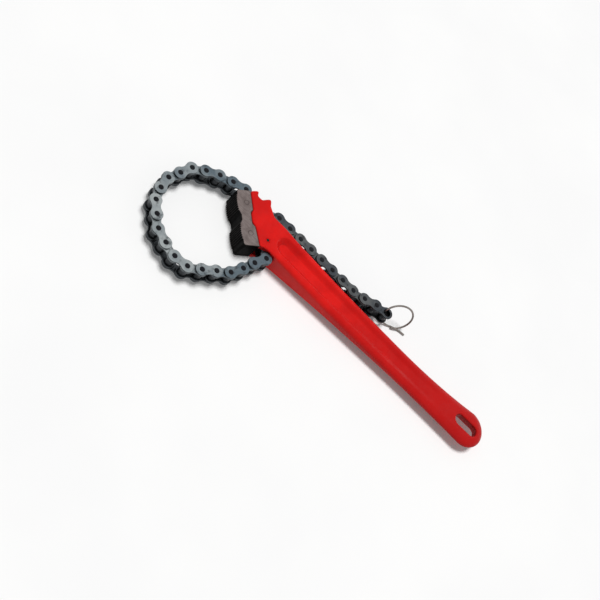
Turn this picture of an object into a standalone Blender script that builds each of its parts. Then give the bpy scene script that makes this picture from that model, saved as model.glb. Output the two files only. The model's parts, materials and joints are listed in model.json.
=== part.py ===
"""Chain wrench with a forged handle, a double jaw and a roller chain of thirty-three links.

Units are metres, +Z is up and the wrench lies on its side. The origin is on the underside of the
head, on the handle's centre line. +X runs along the handle, away from the jaw, and +Y points to
the side of the head that hooks the chain.
"""

import math

import bmesh
import bpy
from mathutils import Matrix, Vector

# Running and seating clearances
SEAT_GAP = 0.0003
RUNNING_GAP = 0.00025
CUT_OVERRUN = 0.002

# Chain
CHAIN_PITCH = 0.015875
PLATE_HEIGHT = 0.0138
PLATE_WAIST = 0.0094
PLATE_THICKNESS = 0.0020
PLATE_GAP = 0.0003
INNER_WIDTH = 0.0096
ROLLER_DIAMETER = 0.01016
CHAIN_PIN_DIAMETER = 0.0050
RIVET_HEIGHT = 0.0005
LAST_EYE_DIAMETER = 0.0087
LAST_EYE_SIDES = 16
PLATE_ARC_STEPS = 8
WAIST_ARC_STEPS = 2
CLOSING_STEPS = 8
PIN_SIDES = 8
ROLLER_SIDES = 12

# Chain lay between the anchor pin and the first seated pivot: headings in degrees about +Z
ANCHOR_X = 0.008300
ANCHOR_Y = -0.011900
SEATED_X = -0.028349
SEATED_Y = 0.017711
ANCHOR_PITCH = 0.0190
ANCHOR_HEADING = -52.7
LOOP_HEADINGS = (-113, -109, -115, -137, -137, -144, -174, -196, -203, -226)
LOOP_HEADINGS += (-228, -251, -263, -288, -287, -320, -327, -338, -342)
SEATED_HEADINGS = (-371.5, -354, -342)
TAIL_HEADINGS = (-360, -360, -360, -360, -360, -360, -360, -349, -341, -344)

# Head
HEAD_THICKNESS = 0.0270
HEAD_EDGE_BEVEL = 0.0012
HEAD_REACH = 0.0220
CHANNEL_WIDTH = 0.0202
CHANNEL_GAP = 0.0005
SEAT_TOOTH_TIP = 0.0024
SEAT_TOOTH_DROP = 0.0010
RIB_ROOT_DEPTH = 0.0060
CLEVIS_SWINGS = (32.0, 5.0)
CHAIN_RELIEF_GAP = 0.0015
ANCHOR_PIN_DIAMETER = 0.0050
ANCHOR_PIN_RECESS = 0.0006
# Horns and top edge of each cheek, from the seated pivot 21, in shares of the chain pitch
HORN_SHARES = (
    (-0.35, 0.60),
    (-0.22, 0.57),
    (-0.13, 0.32),
    (0.02, 0.29),
    (0.28, 0.30),
    (0.34, 0.40),
    (0.58, 0.76),
    (0.69, 0.82),
    (0.80, 0.76),
    (0.88, 0.63),
    (0.98, 0.44),
    (1.17, 0.31),
)
# Lower edge of the head past the clevis, from the anchor pin, in shares of the plate height
CHIN_SHARES = ((-0.017, -0.808), (0.420, -0.589), (0.800, -0.480))

# Jaw, laid out from the middle of its seat: u runs up the seat, v out of it towards the pipe
JAW_SEAT_X = -0.01725
JAW_SEAT_Y = -0.00285
JAW_ANGLE = 133.8
JAW_LENGTH = 0.0642
JAW_DEPTH = 0.0187
JAW_THICKNESS = 0.0260
JAW_WAIST_DROP = 0.0028
JAW_LOBE_BULGE = 0.0010
JAW_CORNER = 0.0028
JAW_CORNER_STEPS = 4
JAW_TOOTH_DEPTH = 0.0011
JAW_TEETH = 8
JAW_KEY_DEPTH = 0.0030
JAW_KEY_LENGTH = 0.0120
JAW_LOBE_SHARES = ((-0.40, -0.10), (0.11, 0.41))
TONGUE_WIDTH = 0.0120
TONGUE_DEPTH = 0.0124
TONGUE_SHARES = (-0.38, 0.44)
JAW_PIN_DIAMETER = 0.0050
JAW_PIN_RECESS = 0.0004
JAW_PIN_SHARES = (0.275, -0.275)
JAW_PIN_DEPTH = 0.0068

# Handle
HANDLE_LENGTH = 0.3302
HANDLE_END_WIDTH = 0.0440
HANDLE_END_THICKNESS = 0.0102
HANDLE_ROOT_THICKNESS = 0.0264
HANDLE_EDGE_RADIUS = 0.0040
THICKNESS_RUN = 0.2100
THICKNESS_POWER = 1.6
GRIP_DEPTH = 0.0378
GRIP_TAPER = 0.0031
UPPER_FLARE = 0.0077
FLARE_RUN = 0.1000
FLARE_POWER = 2
HANDLE_STATIONS = 19
RECESS_START = 0.0230
RECESS_END = 0.0440
RECESS_FLANGE = 0.0082
RECESS_WALL = 0.0022
RECESS_DEPTH_SHARE = 0.19
RECESS_ROUND_STEPS = 5
RECESS_STATIONS = 7
HANG_SLOT_LENGTH = 0.0305
HANG_SLOT_WIDTH = 0.0125
HANG_SLOT_INSET = 0.0095

# Pull ring in the last link
RING_RADIUS = 0.0170
RING_WIRE = 0.0018
RING_HEADING = 29.3
RING_LEAN = 12.5
RING_RISE = 0.0042
RING_REACH = 0.0153
RING_SHIFT = 0.0018
RING_END_OFFSET = 0.0012
RING_TAIL = 0.0200
RING_STEPS = 28
RING_TURN = 352.0

# Round cuts, pins and the handle's end
HOLE_SIDES = 16
END_SIDES = 40

# Finishes: base colour, roughness and metallic value
FINISHES = {
    "red_enamel": ((0.70, 0.030, 0.022), 0.38, 0.0),
    "jaw_steel": ((0.090, 0.082, 0.080), 0.45, 0.8),
    "chain_steel": ((0.33, 0.37, 0.38), 0.35, 1.0),
    "pin_steel": ((0.12, 0.13, 0.14), 0.40, 1.0),
    "wire_steel": ((0.45, 0.44, 0.43), 0.30, 1.0),
}

MID_HEIGHT = HEAD_THICKNESS / 2
FULL_TURN = 2 * math.pi


def clear_scene():
    """Remove every object, so that the script builds the same scene each time."""
    for scene_object in list(bpy.data.objects):
        bpy.data.objects.remove(scene_object, do_unlink=True)


def finish(name):
    """Return the named material, made once."""
    if name in bpy.data.materials:
        return bpy.data.materials[name]
    colour, roughness, metallic = FINISHES[name]
    material = bpy.data.materials.new(name)
    material.use_nodes = True
    shader = material.node_tree.nodes["Principled BSDF"]
    shader.inputs["Base Color"].default_value = (*colour, 1)
    shader.inputs["Roughness"].default_value = roughness
    shader.inputs["Metallic"].default_value = metallic
    material.diffuse_color = (*colour, 1)
    return material


# Mesh helpers


def new_object(name, mesh):
    """Link a new object that holds the mesh."""
    made = bpy.data.objects.new(name, mesh)
    bpy.context.scene.collection.objects.link(made)
    return made


def mesh_from(name, points, faces):
    """Make a mesh of these points and faces with its normals pointing out."""
    mesh = bpy.data.meshes.new(name)
    mesh.from_pydata([tuple(point) for point in points], [], faces)
    shell = bmesh.new()
    shell.from_mesh(mesh)
    bmesh.ops.recalc_face_normals(shell, faces=shell.faces)
    shell.to_mesh(mesh)
    shell.free()
    return mesh


def prism(name, outline, low, high):
    """Extrude a flat outline from one height to another."""
    count = len(outline)
    points = [(x, y, low) for x, y in outline] + [(x, y, high) for x, y in outline]
    faces = [list(range(count))[::-1], [count + i for i in range(count)]]
    for i in range(count):
        j = (i + 1) % count
        faces.append([i, j, count + j, count + i])
    return mesh_from(name, points, faces)


def slab(name, outline, thickness):
    """Extrude an outline evenly to both sides of the wrench's middle plane."""
    return prism(name, outline, MID_HEIGHT - thickness / 2, MID_HEIGHT + thickness / 2)


def circle(centre, diameter, sides):
    """Return the corners of a regular polygon round a centre."""
    angles = [FULL_TURN * (i + 0.5) / sides for i in range(sides)]
    radius = diameter / 2
    return [(centre[0] + radius * math.cos(a), centre[1] + radius * math.sin(a)) for a in angles]


def arc(centre, radius, start, end, steps):
    """Return points along an arc, with its angles in degrees and both ends included."""
    angles = [math.radians(start + (end - start) * i / steps) for i in range(steps + 1)]
    return [(centre[0] + radius * math.cos(a), centre[1] + radius * math.sin(a)) for a in angles]


def rod(name, centre, diameter, length, sides=HOLE_SIDES):
    """Make an upright cylinder centred on the middle plane."""
    return slab(name, circle(centre, diameter, sides), length)


def combined(name, base, changes):
    """Apply a list of (operation, mesh) Booleans to a mesh and return the result."""
    target = new_object(name + "_work", base)
    helpers = []
    for index, (operation, mesh) in enumerate(changes):
        helper = new_object(f"{name}_helper_{index}", mesh)
        helper.hide_render = True
        helper.display_type = "WIRE"
        modifier = target.modifiers.new(f"{operation}_{index}", "BOOLEAN")
        modifier.operation = operation
        modifier.solver = "EXACT"
        modifier.object = helper
        helpers.append(helper)
    bpy.context.view_layer.update()
    graph = bpy.context.evaluated_depsgraph_get()
    result = bpy.data.meshes.new_from_object(target.evaluated_get(graph))
    result.name = name
    for done in [target, *helpers]:
        bpy.data.objects.remove(done, do_unlink=True)
    return result


def bevelled(name, mesh, width, angle):
    """Bevel the edges of a mesh that are sharper than the angle."""
    target = new_object(name + "_work", mesh)
    modifier = target.modifiers.new("edge_bevel", "BEVEL")
    modifier.width = width
    modifier.segments = 1
    modifier.limit_method = "ANGLE"
    modifier.angle_limit = math.radians(angle)
    bpy.context.view_layer.update()
    graph = bpy.context.evaluated_depsgraph_get()
    result = bpy.data.meshes.new_from_object(target.evaluated_get(graph))
    bpy.data.objects.remove(target, do_unlink=True)
    return result


def place(name, mesh, origin, finish_name, heading=0.0):
    """Put a node's object at its pivot, turned to its heading, with its finish."""
    if not mesh.materials:
        mesh.materials.append(finish(finish_name))
        mesh.shade_smooth()
        mesh.set_sharp_from_angle(angle=math.radians(35))
    made = new_object(name, mesh)
    made.location = origin
    made.rotation_euler = (0, 0, math.radians(heading))
    return made


def moved_to_origin(mesh, origin):
    """Shift a mesh so that the given point becomes its own origin."""
    mesh.transform(Matrix.Translation(-Vector(origin)))
    return mesh


# Chain lay


def measured_headings():
    """Return the heading of every link in degrees, the anchor link first."""
    return [ANCHOR_HEADING, *LOOP_HEADINGS, *SEATED_HEADINGS, *TAIL_HEADINGS]


def walk(start, headings):
    """Walk from a point along the chain and return every pivot passed, the start included."""
    pivots = [start]
    for heading in headings:
        x, y = pivots[-1]
        angle = math.radians(heading)
        pivots.append((x + CHAIN_PITCH * math.cos(angle), y + CHAIN_PITCH * math.sin(angle)))
    return pivots


def bent_loop(bend, lean):
    """Headings of the hanging loop, opened by an even bend and turned by a lean towards its end."""
    count = len(LOOP_HEADINGS) + 1
    loop = measured_headings()[1 : count + 1]
    return [heading + lean + bend * (2 * i / count - 1) for i, heading in enumerate(loop)]


def closed_loop():
    """Bend the loop until it runs from the end of the anchor link to the first seated pivot."""
    start = (
        ANCHOR_X + ANCHOR_PITCH * math.cos(math.radians(ANCHOR_HEADING)),
        ANCHOR_Y + ANCHOR_PITCH * math.sin(math.radians(ANCHOR_HEADING)),
    )
    bend = lean = 0.0
    for _ in range(CLOSING_STEPS):
        miss = missed_by(start, bend, lean)
        per_bend = [a - b for a, b in zip(missed_by(start, bend + 1, lean), miss)]
        per_lean = [a - b for a, b in zip(missed_by(start, bend, lean + 1), miss)]
        area = per_bend[0] * per_lean[1] - per_bend[1] * per_lean[0]
        bend -= (miss[0] * per_lean[1] - miss[1] * per_lean[0]) / area
        lean -= (per_bend[0] * miss[1] - per_bend[1] * miss[0]) / area
    return start, bent_loop(bend, lean)


def missed_by(start, bend, lean):
    """How far the bent loop ends from the first seated pivot."""
    x, y = walk(start, bent_loop(bend, lean))[-1]
    return (x - SEATED_X, y - SEATED_Y)


def chain_lay():
    """Return every pivot and every link's heading, from the anchor pin to the end of the tail."""
    start, loop = closed_loop()
    rest = measured_headings()[len(loop) + 1 :]
    pivots = [(ANCHOR_X, ANCHOR_Y), *walk(start, loop)[:-1], *walk((SEATED_X, SEATED_Y), rest)]
    return pivots, [ANCHOR_HEADING, *loop, *rest]


PIVOTS, HEADINGS = chain_lay()
SEATED_PIVOT = PIVOTS[21]
HOOKED_PIVOT = PIVOTS[22]
TAIL_PIVOT = PIVOTS[23]
TOP_EDGE = TAIL_PIVOT[1] - PLATE_HEIGHT / 2 - SEAT_GAP


# Chain links


def plate_outline(pitch):
    """Outline of a waisted side plate: two round ends joined by hollow arcs that meet them smoothly."""
    end = PLATE_HEIGHT / 2
    waist = PLATE_WAIST / 2
    half = pitch / 2
    hollow = (half**2 + waist**2 - end**2) / (2 * (end - waist))
    centre_height = waist + hollow
    meet = math.degrees(math.atan2(centre_height, half))
    left = arc((0, 0), end, meet, 360 - meet, PLATE_ARC_STEPS)
    right = arc((pitch, 0), end, 180 + meet, 540 - meet, PLATE_ARC_STEPS)
    below = arc((half, -centre_height), hollow, 180 - meet, meet, WAIST_ARC_STEPS)[1:-1]
    above = arc((half, centre_height), hollow, -meet, meet - 180, WAIST_ARC_STEPS)[1:-1]
    return left + below + right + above


def chain_plate(name, pitch, inside):
    """One side plate whose inner face stands this far from the middle plane."""
    low = MID_HEIGHT + inside
    return prism(name, plate_outline(pitch), low, low + PLATE_THICKNESS)


def mirrored(mesh):
    """Copy a mesh to the other side of the middle plane."""
    copy = mesh.copy()
    flip = Matrix.Diagonal((1, 1, -1, 1))
    copy.transform(Matrix.Translation((0, 0, MID_HEIGHT)) @ flip @ Matrix.Translation((0, 0, -MID_HEIGHT)))
    copy.flip_normals()
    return copy


OUTER_PLATE_INSIDE = INNER_WIDTH / 2 + PLATE_THICKNESS + PLATE_GAP
INNER_LINK_WIDTH = INNER_WIDTH + 2 * PLATE_THICKNESS
OUTER_LINK_WIDTH = 2 * (OUTER_PLATE_INSIDE + PLATE_THICKNESS)
PIN_LENGTH = OUTER_LINK_WIDTH + 2 * RIVET_HEIGHT
BORE_DIAMETER = (CHAIN_PIN_DIAMETER + 2 * RUNNING_GAP) / math.cos(math.pi / PIN_SIDES)


def outer_link_mesh():
    """Two outer plates on a pair of riveted pins."""
    plate = chain_plate("outer_plate", CHAIN_PITCH, OUTER_PLATE_INSIDE)
    pins = [rod("pin", (x, 0), CHAIN_PIN_DIAMETER, PIN_LENGTH, PIN_SIDES) for x in (0, CHAIN_PITCH)]
    changes = [("UNION", mirrored(plate))] + [("UNION", pin) for pin in pins]
    return combined("outer_link", plate.copy(), changes)


def inner_link_mesh(name, pitch, last_bore):
    """Two inner plates joined by a pair of bushed rollers, each with its through bore."""
    plate = chain_plate("inner_plate", pitch, INNER_WIDTH / 2)
    changes = [("UNION", mirrored(plate))]
    for x in (0, pitch):
        changes.append(("UNION", rod("roller", (x, 0), ROLLER_DIAMETER, INNER_WIDTH + PLATE_THICKNESS, ROLLER_SIDES)))
    sides = PIN_SIDES if last_bore == BORE_DIAMETER else LAST_EYE_SIDES
    for x, bore, corners in ((0, BORE_DIAMETER, PIN_SIDES), (pitch, last_bore, sides)):
        length = INNER_LINK_WIDTH + 2 * CUT_OVERRUN
        changes.append(("DIFFERENCE", rod("bore", (x, 0), bore, length, corners)))
    return combined(name, plate.copy(), changes)


def build_chain():
    """Lay all thirty-three links along their pivots: odd ones are inner links, even ones outer."""
    outer = outer_link_mesh()
    inner = inner_link_mesh("inner_link", CHAIN_PITCH, BORE_DIAMETER)
    anchor = inner_link_mesh("anchor_link", ANCHOR_PITCH, BORE_DIAMETER)
    last = inner_link_mesh("last_link", CHAIN_PITCH, LAST_EYE_DIAMETER)
    for number, heading in enumerate(HEADINGS, start=1):
        mesh = outer if number % 2 == 0 else inner
        if number == 1:
            mesh = anchor
        if number == len(HEADINGS):
            mesh = last
        x, y = PIVOTS[number - 1]
        place(f"link_{number:02d}", mesh, (x, y, 0), "chain_steel", heading)


# Jaw


def jaw_point(u, v):
    """Turn a place in the jaw's own frame into a place on the wrench."""
    angle = math.radians(JAW_ANGLE)
    along = (math.cos(angle), math.sin(angle))
    out = (-along[1], along[0])
    return (JAW_SEAT_X + u * along[0] + v * out[0], JAW_SEAT_Y + u * along[1] + v * out[1])


def lobe_face(start, end):
    """Teeth across one crowned lobe, from its start to its end along the seat."""
    points = []
    steps = 2 * JAW_TEETH
    for i in range(steps + 1):
        share = i / steps
        crown = JAW_LOBE_BULGE * (1 - (2 * share - 1) ** 2)
        root = JAW_TOOTH_DEPTH if i % 2 == 0 else 0
        points.append((start + (end - start) * share, JAW_DEPTH - JAW_LOBE_BULGE + crown - root))
    return points


def jaw_outline():
    """Side view of the jaw: two toothed lobes with a waist in front and a keyway in the seat."""
    half = JAW_LENGTH / 2
    key = JAW_KEY_LENGTH / 2 + SEAT_GAP
    back = SEAT_GAP
    deep = JAW_KEY_DEPTH + SEAT_GAP
    lower, upper = JAW_LOBE_SHARES
    corner_depth = JAW_DEPTH - JAW_LOBE_BULGE - JAW_TOOTH_DEPTH - JAW_CORNER
    front_end = JAW_LENGTH * upper[1] + JAW_CORNER / 2
    outline = [(-half, back), (-key - deep, back), (-key, deep), (key, deep), (key + deep, back), (half, back)]
    outline += [(half, corner_depth)]
    outline += arc((half - JAW_CORNER, corner_depth), JAW_CORNER, 0, 90, JAW_CORNER_STEPS)[1:-1]
    outline += lobe_face(JAW_LENGTH * upper[1], JAW_LENGTH * upper[0])
    outline += [(JAW_KEY_DEPTH, JAW_DEPTH - JAW_WAIST_DROP - JAW_LOBE_BULGE)]
    outline += [(-JAW_KEY_DEPTH, JAW_DEPTH - JAW_WAIST_DROP - JAW_LOBE_BULGE)]
    outline += lobe_face(JAW_LENGTH * lower[1], JAW_LENGTH * lower[0])
    outline += arc((JAW_CORNER - half, corner_depth), JAW_CORNER, 90, 180, JAW_CORNER_STEPS)[1:]
    return [jaw_point(u, v) for u, v in outline]


def jaw_rectangle(start, end, low, high):
    """Corners of a rectangle in the jaw's frame."""
    return [jaw_point(start, low), jaw_point(end, low), jaw_point(end, high), jaw_point(start, high)]


def jaw_pin_centre(share):
    """Centre of a jaw pin at this share of the jaw's length from its middle."""
    return jaw_point(JAW_LENGTH * share, JAW_PIN_DEPTH)


def build_jaw():
    """Hardened double jaw, slotted behind for the head's tongue and relieved above for the chain."""
    slot_depth = TONGUE_DEPTH + SEAT_GAP
    slot = jaw_rectangle(JAW_LENGTH * TONGUE_SHARES[0] - SEAT_GAP, JAW_LENGTH, -JAW_DEPTH, slot_depth)
    changes = [
        ("DIFFERENCE", slab("tongue_slot", slot, TONGUE_WIDTH + 2 * SEAT_GAP)),
        ("DIFFERENCE", slab("chain_relief", channel_outline(), CHANNEL_WIDTH)),
    ]
    for share in JAW_PIN_SHARES:
        hole = JAW_PIN_DIAMETER + 2 * SEAT_GAP
        changes.append(("DIFFERENCE", rod("pin_hole", jaw_pin_centre(share), hole, 2 * HEAD_THICKNESS)))
    jaw = combined("jaw", slab("jaw_block", jaw_outline(), JAW_THICKNESS), changes)
    origin = (*jaw_point(0, 0), 0)
    place("jaw", moved_to_origin(jaw, origin), origin, "jaw_steel")
    for name, share in zip(("jaw_pin_upper", "jaw_pin_lower"), JAW_PIN_SHARES):
        pin = rod(name, (0, 0), JAW_PIN_DIAMETER, JAW_THICKNESS - 2 * JAW_PIN_RECESS)
        place(name, pin, (*jaw_pin_centre(share), 0), "pin_steel")


# Head


def channel_outline():
    """Space that the chain passes through: its floor follows the links' lower edges."""
    drop = PLATE_HEIGHT / 2 + CHANNEL_GAP
    entry, seated, hooked, tail = PIVOTS[20], SEATED_PIVOT, HOOKED_PIVOT, TAIL_PIVOT
    top = seated[1] + 2 * CHAIN_PITCH
    floor = [
        (PIVOTS[19][0], PIVOTS[19][1] - drop),
        (entry[0] - RIVET_HEIGHT, entry[1] - drop),
        (entry[0] + PLATE_WAIST / 2, entry[1] - drop),
        (seated[0] - PLATE_WAIST / 2, seated[1] - drop),
        (seated[0] + PLATE_WAIST / 2, seated[1] - drop),
        (hooked[0] + PLATE_WAIST / 2, hooked[1] - drop),
        (tail[0] - PLATE_WAIST / 2, TOP_EDGE - CHANNEL_GAP),
        (tail[0] + CHAIN_PITCH / 2, TOP_EDGE + CHANNEL_GAP),
    ]
    return floor + [(tail[0] + CHAIN_PITCH / 2, top), (PIVOTS[19][0], top)]


def seat_rib_outline():
    """Rib in the channel with a gullet under each seated roller and one tooth between them."""
    gullet = ROLLER_DIAMETER / 2 + SEAT_GAP
    middle = ((SEATED_PIVOT[0] + HOOKED_PIVOT[0]) / 2, (SEATED_PIVOT[1] + HOOKED_PIVOT[1]) / 2)
    tip = middle[1] - SEAT_TOOTH_DROP
    root = SEATED_PIVOT[1] - gullet - RIB_ROOT_DEPTH
    rise_end = (TAIL_PIVOT[0] - PLATE_WAIST / 2, TOP_EDGE)
    outline = arc(SEATED_PIVOT, gullet, 238, 325, 4)
    outline += [(middle[0] - SEAT_TOOTH_TIP / 2, tip), (middle[0] + SEAT_TOOTH_TIP / 2, tip)]
    outline += arc(HOOKED_PIVOT, gullet, 215, 305, 4)
    outline += [rise_end, (rise_end[0], root), (outline[0][0], root)]
    return outline


def head_outline():
    """Side view of the head: seat line with its key, two horns above and the chin below."""
    half = JAW_LENGTH / 2
    key = JAW_KEY_LENGTH / 2
    seat = [(half, 0), (key + JAW_KEY_DEPTH, 0), (key, JAW_KEY_DEPTH)]
    seat += [(-key, JAW_KEY_DEPTH), (-key - JAW_KEY_DEPTH, 0), (-half, 0)]
    outline = [jaw_point(u, v) for u, v in seat]
    for x_share, y_share in CHIN_SHARES:
        outline.append((ANCHOR_X + PLATE_HEIGHT * x_share, ANCHOR_Y + PLATE_HEIGHT * y_share))
    outline += [(HEAD_REACH, handle_edges(HEAD_REACH)[0]), (HEAD_REACH, TOP_EDGE)]
    outline += [(TAIL_PIVOT[0] - PLATE_WAIST / 2, TOP_EDGE)]
    for x_share, y_share in reversed(HORN_SHARES):
        outline.append((SEATED_PIVOT[0] + CHAIN_PITCH * x_share, SEATED_PIVOT[1] + CHAIN_PITCH * y_share))
    return outline


def clevis_outline():
    """Pocket for the anchor link: round at the pin and open below over the link's swing."""
    centre = PIVOTS[0]
    reach = ANCHOR_PITCH + PLATE_HEIGHT
    pocket = PLATE_HEIGHT / 2 + 2 * CHANNEL_GAP
    left = ANCHOR_HEADING - CLEVIS_SWINGS[0]
    right = ANCHOR_HEADING + CLEVIS_SWINGS[1]
    outline = arc(centre, pocket, right + 90, left + 270, 8)
    for heading, side in ((left, -90), (right, 90)):
        angle = math.radians(heading)
        edge = math.radians(heading + side)
        x = centre[0] + reach * math.cos(angle) + pocket * math.cos(edge)
        y = centre[1] + reach * math.sin(angle) + pocket * math.sin(edge)
        outline.append((x, y))
    return outline


# Handle


def handle_thickness(x):
    """Thickness of the bar, which thins from the head and levels out past the middle."""
    share = max(0.0, 1 - max(0.0, x - HEAD_REACH) / THICKNESS_RUN)
    return HANDLE_END_THICKNESS + (HANDLE_ROOT_THICKNESS - HANDLE_END_THICKNESS) * share**THICKNESS_POWER


def end_centre():
    """Centre of the handle's round end."""
    x = HANDLE_LENGTH - HANDLE_END_WIDTH / 2
    return (x, TOP_EDGE + UPPER_FLARE - HANDLE_END_WIDTH / 2)


def handle_edges(x):
    """Lower and upper edge of the bar at this distance along it."""
    centre = end_centre()
    flare = max(0.0, (x - centre[0] + FLARE_RUN) / FLARE_RUN) ** FLARE_POWER
    start = TOP_EDGE - GRIP_DEPTH
    full_drop = start + GRIP_TAPER - (centre[1] - HANDLE_END_WIDTH / 2)
    lower = start + GRIP_TAPER * min(1.0, max(0.0, x) / (centre[0] - FLARE_RUN)) - full_drop * flare
    return lower, TOP_EDGE + UPPER_FLARE * flare


def bar_section(x):
    """Closed ring of points round the bar at one station, with rounded corners."""
    lower, upper = handle_edges(x)
    half = handle_thickness(x) / 2
    radius = HANDLE_EDGE_RADIUS
    ring = arc((lower + radius, half - radius), radius, 180, 90, 2)
    ring += arc((upper - radius, half - radius), radius, 90, 0, 2)
    ring += [(y, -z) for y, z in reversed(ring)]
    return [(x, y, MID_HEIGHT + z) for y, z in ring]


def bar_mesh():
    """Loft the bar from inside the head to the centre of its round end."""
    start = PIVOTS[0][0]
    end = end_centre()[0]
    stations = [start + (end - start) * i / (HANDLE_STATIONS - 1) for i in range(HANDLE_STATIONS)]
    points = []
    for x in stations:
        points += bar_section(x)
    count = len(points) // HANDLE_STATIONS
    faces = [list(range(count)), [len(points) - 1 - i for i in range(count)]]
    for station in range(HANDLE_STATIONS - 1):
        for i in range(count):
            j = (i + 1) % count
            a, b = station * count + i, station * count + j
            faces.append([a, b, b + count, a + count])
    return mesh_from("bar", points, faces)


def end_disc():
    """Round end of the handle, turned with the bar's own edge radius."""
    centre = end_centre()
    radius = HANDLE_EDGE_RADIUS
    half = HANDLE_END_THICKNESS / 2
    profile = arc((HANDLE_END_WIDTH / 2 - radius, half - radius), radius, 90, 0, 2)
    profile += [(r, -z) for r, z in reversed(profile)]
    points = []
    for i in range(END_SIDES):
        angle = FULL_TURN * i / END_SIDES
        for r, z in profile:
            points.append((centre[0] + r * math.cos(angle), centre[1] + r * math.sin(angle), MID_HEIGHT + z))
    count = len(profile)
    total = len(points)
    faces = [[i * count for i in range(END_SIDES)], [i * count + count - 1 for i in range(END_SIDES)][::-1]]
    for i in range(END_SIDES):
        for j in range(count - 1):
            a = i * count + j
            b = (a + count) % total
            faces.append([a, b, b + 1, a + 1])
    return mesh_from("end_disc", points, faces)


def recess_ring(inset):
    """Plan of the I-beam recess, drawn in by an inset, with round ends."""
    start = RECESS_START
    end = end_centre()[0] - RECESS_END
    edges = []
    for i in range(RECESS_STATIONS):
        x = start + (end - start) * i / (RECESS_STATIONS - 1)
        lower, upper = handle_edges(x)
        edges.append((x, lower + RECESS_FLANGE + inset, upper - RECESS_FLANGE - inset))
    ring = [(x, lower) for x, lower, _ in edges]
    x, lower, upper = edges[-1]
    ring += arc((x, (lower + upper) / 2), (upper - lower) / 2, -90, 90, RECESS_ROUND_STEPS)[1:-1]
    ring += [(x, upper) for x, _, upper in reversed(edges)]
    x, lower, upper = edges[0]
    ring += arc((x, (lower + upper) / 2), (upper - lower) / 2, 90, 270, RECESS_ROUND_STEPS)[1:-1]
    return ring


def recess_cutter():
    """Sloped pocket sunk into the upper face of the bar, by a set share of its thickness."""
    outer = recess_ring(-RECESS_WALL)
    inner = recess_ring(RECESS_WALL)
    points = []
    for x, y in outer:
        points.append((x, y, MID_HEIGHT + handle_thickness(x) / 2 + CUT_OVERRUN))
    for x, y in inner:
        points.append((x, y, MID_HEIGHT + handle_thickness(x) * (0.5 - RECESS_DEPTH_SHARE)))
    count = len(outer)
    faces = []
    for i in range(count):
        j = (i + 1) % count
        faces.append([i, j, count + j, count + i])
    # Strips straight across the pocket, so that no cap face spans the tapering thickness.
    for base in (0, count):
        faces += cap_strips(base, count)
    return mesh_from("recess", points, faces)


def cap_strips(base, count):
    """Faces that close one end of the pocket, each between two facing points of its ring."""
    lower = [base + i for i in range(RECESS_STATIONS)]
    first_arc = [base + RECESS_STATIONS + i for i in range(RECESS_ROUND_STEPS - 1)]
    upper_start = base + RECESS_STATIONS + RECESS_ROUND_STEPS - 1
    upper = [upper_start + i for i in range(RECESS_STATIONS)][::-1]
    last_arc = [upper_start + RECESS_STATIONS + i for i in range(RECESS_ROUND_STEPS - 1)]
    strips = [[lower[i], lower[i + 1], upper[i + 1], upper[i]] for i in range(RECESS_STATIONS - 1)]
    strips.append([lower[-1], *first_arc, upper[-1]])
    strips.append([upper[0], *last_arc, lower[0]])
    return strips


def hang_slot_cutter():
    """Oblong hole through the handle's end."""
    centre = end_centre()
    right = HANDLE_LENGTH - HANG_SLOT_INSET - HANG_SLOT_WIDTH / 2
    left = right - HANG_SLOT_LENGTH + HANG_SLOT_WIDTH
    outline = arc((right, centre[1]), HANG_SLOT_WIDTH / 2, -90, 90, 8)
    outline += arc((left, centre[1]), HANG_SLOT_WIDTH / 2, 90, 270, 8)
    return slab("hang_slot", outline, HEAD_THICKNESS)


def build_handle():
    """Forge the handle: bar, round end and head in one piece, then its cuts, rib and holes."""
    head = bevelled("head", slab("head_block", head_outline(), HEAD_THICKNESS), HEAD_EDGE_BEVEL, 60)
    tongue_ends = [JAW_LENGTH * share for share in TONGUE_SHARES]
    tongue = jaw_rectangle(*tongue_ends, -JAW_KEY_DEPTH, TONGUE_DEPTH)
    recess = recess_cutter()
    changes = [
        ("UNION", end_disc()),
        ("UNION", head),
        ("DIFFERENCE", recess),
        ("DIFFERENCE", mirrored(recess)),
        ("DIFFERENCE", hang_slot_cutter()),
        ("UNION", slab("tongue", tongue, TONGUE_WIDTH)),
        ("DIFFERENCE", slab("channel", channel_outline(), CHANNEL_WIDTH)),
        ("UNION", slab("seat_rib", seat_rib_outline(), INNER_WIDTH - 2 * SEAT_GAP)),
        ("DIFFERENCE", slab("clevis", clevis_outline(), INNER_LINK_WIDTH + 2 * SEAT_GAP)),
    ]
    relief = PLATE_HEIGHT + 2 * CHAIN_RELIEF_GAP
    changes.append(("DIFFERENCE", rod("chain_relief", PIVOTS[1], relief, CHANNEL_WIDTH, 2 * HOLE_SIDES)))
    anchor_hole = ANCHOR_PIN_DIAMETER + 2 * SEAT_GAP
    changes.append(("DIFFERENCE", rod("anchor_hole", PIVOTS[0], anchor_hole, 2 * HEAD_THICKNESS)))
    for share in JAW_PIN_SHARES:
        hole = JAW_PIN_DIAMETER + 2 * SEAT_GAP
        changes.append(("DIFFERENCE", rod("pin_hole", jaw_pin_centre(share), hole, 2 * HEAD_THICKNESS)))
    handle = combined("handle", bar_mesh(), changes)
    place("handle", handle, (0, 0, 0), "red_enamel")
    pin = rod("anchor_pin", (0, 0), ANCHOR_PIN_DIAMETER, HEAD_THICKNESS - 2 * ANCHOR_PIN_RECESS, PIN_SIDES)
    place("anchor_pin", pin, (*PIVOTS[0], 0), "pin_steel")


# Pull ring


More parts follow.
